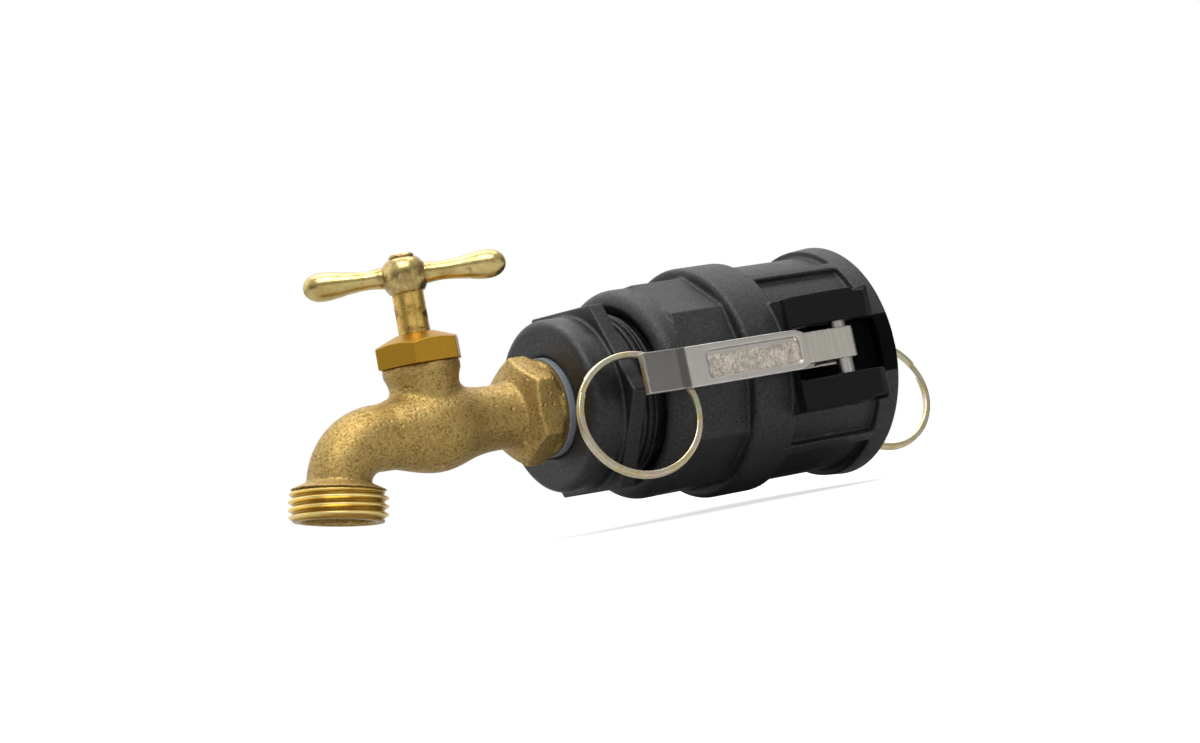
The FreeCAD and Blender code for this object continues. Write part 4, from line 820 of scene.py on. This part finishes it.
stem_brass, tree, shader, place = finish_of("stained_brass")
marks = node(tree, "Mapping", [(place, "Vector")], vector_type="POINT")
marks.inputs["Scale"].default_value = (0.03, 0.03, 1.0)
turning = node(tree, "TexNoise", [(marks.outputs["Vector"], "Vector")], i_Scale=2600.0, i_Detail=3.0)
blotch = node(tree, "TexNoise", [(place, "Vector")], i_Scale=330.0, i_Detail=5.0, i_Roughness=0.65)
tone = ramp(tree, blotch.outputs["Fac"], [(0.37, (0.12, 0.062, 0.018)), (0.46, (0.50, 0.315, 0.080)),
                                          (0.60, (0.74, 0.50, 0.140))])
bump = node(tree, "Bump", [(turning.outputs["Fac"], "Height")], i_Strength=0.14, i_Distance=0.00008)
rough = node(tree, "MapRange", [(blotch.outputs["Fac"], "Value")], i_From_Min=0.4, i_From_Max=0.6,
             i_To_Min=0.5, i_To_Max=0.26)
tree.links.new(tone.outputs["Color"], shader.inputs["Base Color"])
tree.links.new(rough.outputs["Result"], shader.inputs["Roughness"])
tree.links.new(bump.outputs["Normal"], shader.inputs["Normal"])
shader.inputs["Metallic"].default_value = 1.0

turned_brass, tree, shader, place = finish_of("turned_brass")
swirl = placed_group(tree, grain_group, place, Fine=1800.0, Coarse=260.0, Share=0.5)
edge_masks = placed_group(tree, edge_mask_group, place, Start=0.52, End=0.64, Scale=500.0)
tone = ramp(tree, swirl.outputs["Patch"], [(0.30, (0.60, 0.405, 0.100)), (0.66, (0.80, 0.57, 0.175))])
tips = node(tree, "Mix", [(edge_masks.outputs["Mask"], 0), (tone.outputs["Color"], 6)], data_type="RGBA",
            i_7=(0.82, 0.64, 0.30, 1.0))
hollows = node(tree, "Math", [(edge_masks.outputs["Hollow"], 0)], operation="MULTIPLY", i_1=0.85)
brown = node(tree, "Mix", [(hollows.outputs[0], 0), (tips.outputs[2], 6)], data_type="RGBA",
             i_7=(0.10, 0.055, 0.012, 1.0))
bump = node(tree, "Bump", [(swirl.outputs["Height"], "Height")], i_Strength=0.16, i_Distance=0.0001)
tree.links.new(brown.outputs[2], shader.inputs["Base Color"])
tree.links.new(bump.outputs["Normal"], shader.inputs["Normal"])
shader.inputs["Metallic"].default_value = 1.0
shader.inputs["Roughness"].default_value = 0.36

stem = soften(solid_copy("valve_stem", "turned_stem"), STEM_VOXEL, 1)
use(stem, stem_brass, "handle", "valve_stem", slot="turned_brass")
screw = soften(solid_copy("seat_washer_screw", "washer_screw"), SCREW_VOXEL, 2)
use(screw, turned_brass, "handle", "seat_washer_screw", slot="turned_brass")
seat_ring = soften(solid_copy("seat_washer", "stem_washer"), SEAT_VOXEL, 2)
use(seat_ring, rubber, "stem_lift", "seat_washer", slot="black_rubber")


# Packing: a brass washer, a graphite ring and a brass follower, pressed down by the nut.
# The nut is milled from yellow bar: sharp flats, a turned crown and a deep orange tone.

PACKING_VOXEL = 0.0002
NUT_VOXEL = 0.00024

graphite, tree, shader, place = finish_of("graphite_rope")
weave = placed_group(tree, grain_group, place, Fine=1800.0, Coarse=700.0, Share=0.5)
tone = ramp(tree, weave.outputs["Height"], [(0.3, (0.035, 0.035, 0.037)), (0.7, (0.12, 0.12, 0.125))])
tree.links.new(tone.outputs["Color"], shader.inputs["Base Color"])
shader.inputs["Roughness"].default_value = 0.6

for cad_name, name, finish, slot in (("packing_washer", "box_washer", turned_brass, "turned_brass"),
                                     ("stem_packing", "packing_ring", graphite, "graphite_packing"),
                                     ("packing_follower", "box_follower", turned_brass, "turned_brass")):
    ring_piece = soften(solid_copy(cad_name, name), PACKING_VOXEL, 1)
    use(ring_piece, finish, "coupler", cad_name, slot=slot)

nut_brass, tree, shader, place = finish_of("milled_brass")
mill = node(tree, "Mapping", [(place, "Vector")], vector_type="POINT")
mill.inputs["Scale"].default_value = (1.0, 1.0, 0.06)
strokes = node(tree, "TexNoise", [(mill.outputs["Vector"], "Vector")], i_Scale=1500.0, i_Detail=3.0)
edge_masks = placed_group(tree, edge_mask_group, place, Start=0.52, End=0.63, Scale=500.0)
tone = ramp(tree, strokes.outputs["Fac"], [(0.32, (0.450, 0.246, 0.024)), (0.66, (0.490, 0.274, 0.031))])
# painted shade: the nut's corners between the flats are painted dark brown in broken lines
tips = node(tree, "Math", [(edge_masks.outputs["Mask"], 0)], operation="MULTIPLY", i_1=0.95)
corners_shaded = node(tree, "Mix", [(tips.outputs[0], 0), (tone.outputs["Color"], 6)], data_type="RGBA",
             i_7=(0.085, 0.042, 0.006, 1.0))
bump = node(tree, "Bump", [(strokes.outputs["Fac"], "Height")], i_Strength=0.05, i_Distance=0.00006)
tree.links.new(corners_shaded.outputs[2], shader.inputs["Base Color"])
tree.links.new(bump.outputs["Normal"], shader.inputs["Normal"])
shader.inputs["Metallic"].default_value = 1.0
shader.inputs["Roughness"].default_value = 0.42

nut = soften(solid_copy("packing_nut", "hexagon_nut"), NUT_VOXEL, 1)
use(nut, nut_brass, "coupler", "packing_nut", slot="turned_brass")


# Tee handle and cap: forged brass, tumbled to a soft shine, with dirt left in the hollows.
# The cap is the stem's end riveted over the hub.

HANDLE_VOXEL = 0.00026
CAP_VOXEL = 0.00014
HUB_CENTRE = (-0.1372, 0.0, 0.0418)
ARM_WAY = (-0.83364, 0.55086, 0.03999)
ARM_PLACES = (0.0050, 0.0090, 0.0120, 0.0160, 0.0190, 0.0215)
ARM_GROWTH = (1.22, 1.27, 1.23, 1.10, 1.03, 1.0)
ARM_START = 0.0050
ARM_BLEND = 0.0015
HUB_EDGE = 0.0085

bright_brass, tree, shader, place = finish_of("tumbled_brass")
dents = placed_group(tree, grain_group, place, Fine=900.0, Coarse=210.0, Share=0.5)
edge_masks = placed_group(tree, edge_mask_group, place, Start=0.51, End=0.58, Scale=450.0)
tone = ramp(tree, dents.outputs["Patch"], [(0.30, (0.43, 0.325, 0.112)), (0.52, (0.585, 0.455, 0.180)),
                                           (0.72, (0.69, 0.55, 0.24))])
stain = node(tree, "TexNoise", [(place, "Vector")], i_Scale=240.0, i_Detail=5.0, i_Roughness=0.7)
from_hub = node(tree, "VectorMath", [(place, 0)], operation="DISTANCE")
from_hub.inputs[1].default_value = HUB_CENTRE
near_hub = node(tree, "MapRange", [(from_hub.outputs["Value"], "Value")], i_From_Min=HUB_EDGE + 0.002,
                i_From_Max=HUB_EDGE - 0.001, i_To_Min=0.0, i_To_Max=0.11)
dirtier = node(tree, "Math", [(stain.outputs["Fac"], 0), (near_hub.outputs["Result"], 1)], operation="ADD")
patches = node(tree, "MapRange", [(dirtier.outputs[0], "Value")], i_From_Min=0.56, i_From_Max=0.68,
               i_To_Max=0.75)
stained = node(tree, "Mix", [(patches.outputs["Result"], 0), (tone.outputs["Color"], 6)], data_type="RGBA",
               i_7=(0.30, 0.185, 0.08, 1.0))
hollows = node(tree, "Math", [(edge_masks.outputs["Hollow"], 0)], operation="MULTIPLY", i_1=0.8)
grimed = node(tree, "Mix", [(hollows.outputs[0], 0), (stained.outputs[2], 6)], data_type="RGBA",
              i_7=(0.13, 0.08, 0.03, 1.0))
bump = node(tree, "Bump", [(dents.outputs["Height"], "Height")], i_Strength=0.35, i_Distance=0.0002)
tree.links.new(grimed.outputs[2], shader.inputs["Base Color"])
tree.links.new(bump.outputs["Normal"], shader.inputs["Normal"])
shader.inputs["Metallic"].default_value = 1.0
shader.inputs["Roughness"].default_value = 0.24

handle = soften(solid_copy("tee_handle", "tee_forging"), HANDLE_VOXEL, 3)
places = points_of(handle.data) - np.array(HUB_CENTRE)
reach = places @ np.array(ARM_WAY)
spoke = places - np.outer(reach, np.array(ARM_WAY))
out = np.abs(reach)
fuller = np.interp(out, ARM_PLACES, ARM_GROWTH)
outside_hub = np.clip((out - ARM_START) / ARM_BLEND, 0.0, 1.0)
places += spoke * ((fuller - 1.0) * outside_hub)[:, None]
put_points(handle.data, places + np.array(HUB_CENTRE))
use(handle, bright_brass, "handle", "tee_handle", slot="bright_brass")
cap = soften(solid_copy("handle_cap", "riveted_cap"), CAP_VOXEL, 2)
use(cap, bright_brass, "handle", "handle_cap", slot="bright_brass")


# Studio: a pale floor under the coupler, a white backdrop, soft boxes above and beside.
# The camera stands where the photograph was taken.

FLOOR_LEVEL = -0.0368
CAMERA_PLACE = (-0.58148, -0.74552, -0.01847)
CAMERA_AZIMUTH = -33.94
CAMERA_ELEVATION = -1.66
CAMERA_ROLL = -10.32
CAMERA_LENS = 95.76
SKY_ALL_ROUND = 0.13
SKY_OVERHEAD = 0.55
SKY_BEHIND = 0.40
SKY_LEFT = 0.03
FLOOR_HALF = 3.0
FLOOR_GLOW = 0.66
LAMPS_AIM = (-0.06, 0.0, 0.0)
LAMPS = (("key_box", (-0.34, -0.46, 0.80), (0.7, 0.5), 5.2),
         ("top_box", (0.05, 0.15, 0.85), (0.9, 0.5), 4.0),
         ("fill_box", (0.30, -0.95, 0.10), (0.9, 0.5), 0.8),
         ("left_box", (-0.60, -0.75, -0.02), (0.9, 0.5), 0.9))

floor_mesh = bpy.data.meshes.new("studio_floor")
floor_corners = [(x * FLOOR_HALF, y * FLOOR_HALF, FLOOR_LEVEL)
                 for x, y in ((-1, -1), (1, -1), (1, 1), (-1, 1))]
floor_mesh.from_pydata(floor_corners, [], [(0, 1, 2, 3)])
floor = bpy.data.objects.new("studio_floor", floor_mesh)
bpy.context.scene.collection.objects.link(floor)
floor_paint = bpy.data.materials.new("pale_floor")
floor_paint.use_nodes = True
tree = floor_paint.node_tree
paint = tree.nodes["Principled BSDF"]
paint.inputs["Base Color"].default_value = (0.55, 0.55, 0.55, 1.0)
paint.inputs["Roughness"].default_value = 0.9
paint.inputs["Specular IOR Level"].default_value = 0.0
paint.inputs["Emission Color"].default_value = (1.0, 1.0, 1.0, 1.0)
looked_at = node(tree, "Math", [(tree.nodes.new("ShaderNodeLightPath").outputs["Is Camera Ray"], 0)],
                 operation="MULTIPLY", i_1=FLOOR_GLOW)
tree.links.new(looked_at.outputs[0], paint.inputs["Emission Strength"])
floor_mesh.materials.append(floor_paint)

world = bpy.data.worlds.new("studio")
bpy.context.scene.world = world
world.use_nodes = True
tree = world.node_tree
back = tree.nodes["Background"]
rays = tree.nodes.new("ShaderNodeLightPath")
seen = node(tree, "Math", [(rays.outputs["Is Camera Ray"], 0), (rays.outputs["Is Transmission Ray"], 1)],
            operation="MAXIMUM")
way = node(tree, "TexCoord").outputs["Generated"]
split = node(tree, "SeparateXYZ", [(way, 0)])
overhead = node(tree, "MapRange", [(split.outputs["Z"], "Value")], interpolation_type="SMOOTHSTEP",
                i_From_Min=0.05, i_From_Max=0.85, i_To_Max=SKY_OVERHEAD)
behind = node(tree, "MapRange", [(split.outputs["Y"], "Value")], interpolation_type="SMOOTHSTEP",
              i_From_Min=-0.1, i_From_Max=0.7, i_To_Max=SKY_BEHIND)
beside = node(tree, "MapRange", [(split.outputs["X"], "Value")], interpolation_type="SMOOTHSTEP",
              i_From_Min=0.1, i_From_Max=-0.9, i_To_Max=SKY_LEFT)
lit_back = node(tree, "Math", [(overhead.outputs["Result"], 0), (behind.outputs["Result"], 1)],
                operation="ADD")
lit_sides = node(tree, "Math", [(lit_back.outputs[0], 0), (beside.outputs["Result"], 1)], operation="ADD")
mirrored = node(tree, "Math", [(rays.outputs["Is Glossy Ray"], 0), (behind.outputs["Result"], 1)],
                operation="MULTIPLY")
with_mirrored = node(tree, "Math", [(mirrored.outputs[0], 0), (lit_sides.outputs[0], 2)],
                     operation="MULTIPLY_ADD", i_1=(1.0 - SKY_BEHIND - SKY_ALL_ROUND) / SKY_BEHIND)
lit_all = node(tree, "Math", [(with_mirrored.outputs[0], 0)], operation="ADD", i_1=SKY_ALL_ROUND)
level = node(tree, "Mix", [(seen.outputs[0], 0), (lit_all.outputs[0], 2)], data_type="FLOAT", i_3=1.0)
tree.links.new(level.outputs[0], back.inputs["Strength"])
back.inputs["Color"].default_value = (1.0, 1.0, 1.0, 1.0)


def soft_box(name, place, target, size, power):
    """A rectangular lamp aimed at a point."""
    lamp = bpy.data.lights.new(name, "AREA")
    lamp.shape = "RECTANGLE"
    lamp.size, lamp.size_y = size
    lamp.energy = power
    thing = bpy.data.objects.new(name, lamp)
    thing.location = place
    thing.rotation_mode = "QUATERNION"
    thing.rotation_quaternion = (Vector(target) - Vector(place)).to_track_quat("-Z", "Y")
    bpy.context.scene.collection.objects.link(thing)
    return thing


for name, place, size, power in LAMPS:
    soft_box(name, place, LAMPS_AIM, size, power)

lens = bpy.data.cameras.new("photo_camera")
lens.lens = CAMERA_LENS
lens.sensor_width = 36.0
lens.clip_start = 0.01
lens.clip_end = 20.0
camera = bpy.data.objects.new("photo_camera", lens)
bpy.context.scene.collection.objects.link(camera)
azimuth, elevation, roll = (math.radians(v) for v in (CAMERA_AZIMUTH, CAMERA_ELEVATION, CAMERA_ROLL))
back_way = Vector((math.sin(azimuth) * math.cos(elevation), -math.cos(azimuth) * math.cos(elevation),
                   math.sin(elevation)))
level_right = Vector((0, 0, 1)).cross(back_way).normalized()
level_up = back_way.cross(level_right)
right = level_right * math.cos(roll) + level_up * math.sin(roll)
up = back_way.cross(right)
camera.rotation_mode = "QUATERNION"
camera.rotation_quaternion = Matrix((right, up, back_way)).transposed().to_quaternion()
camera.location = CAMERA_PLACE
bpy.context.scene.camera = camera
bpy.context.scene.view_settings.view_transform = "Standard"
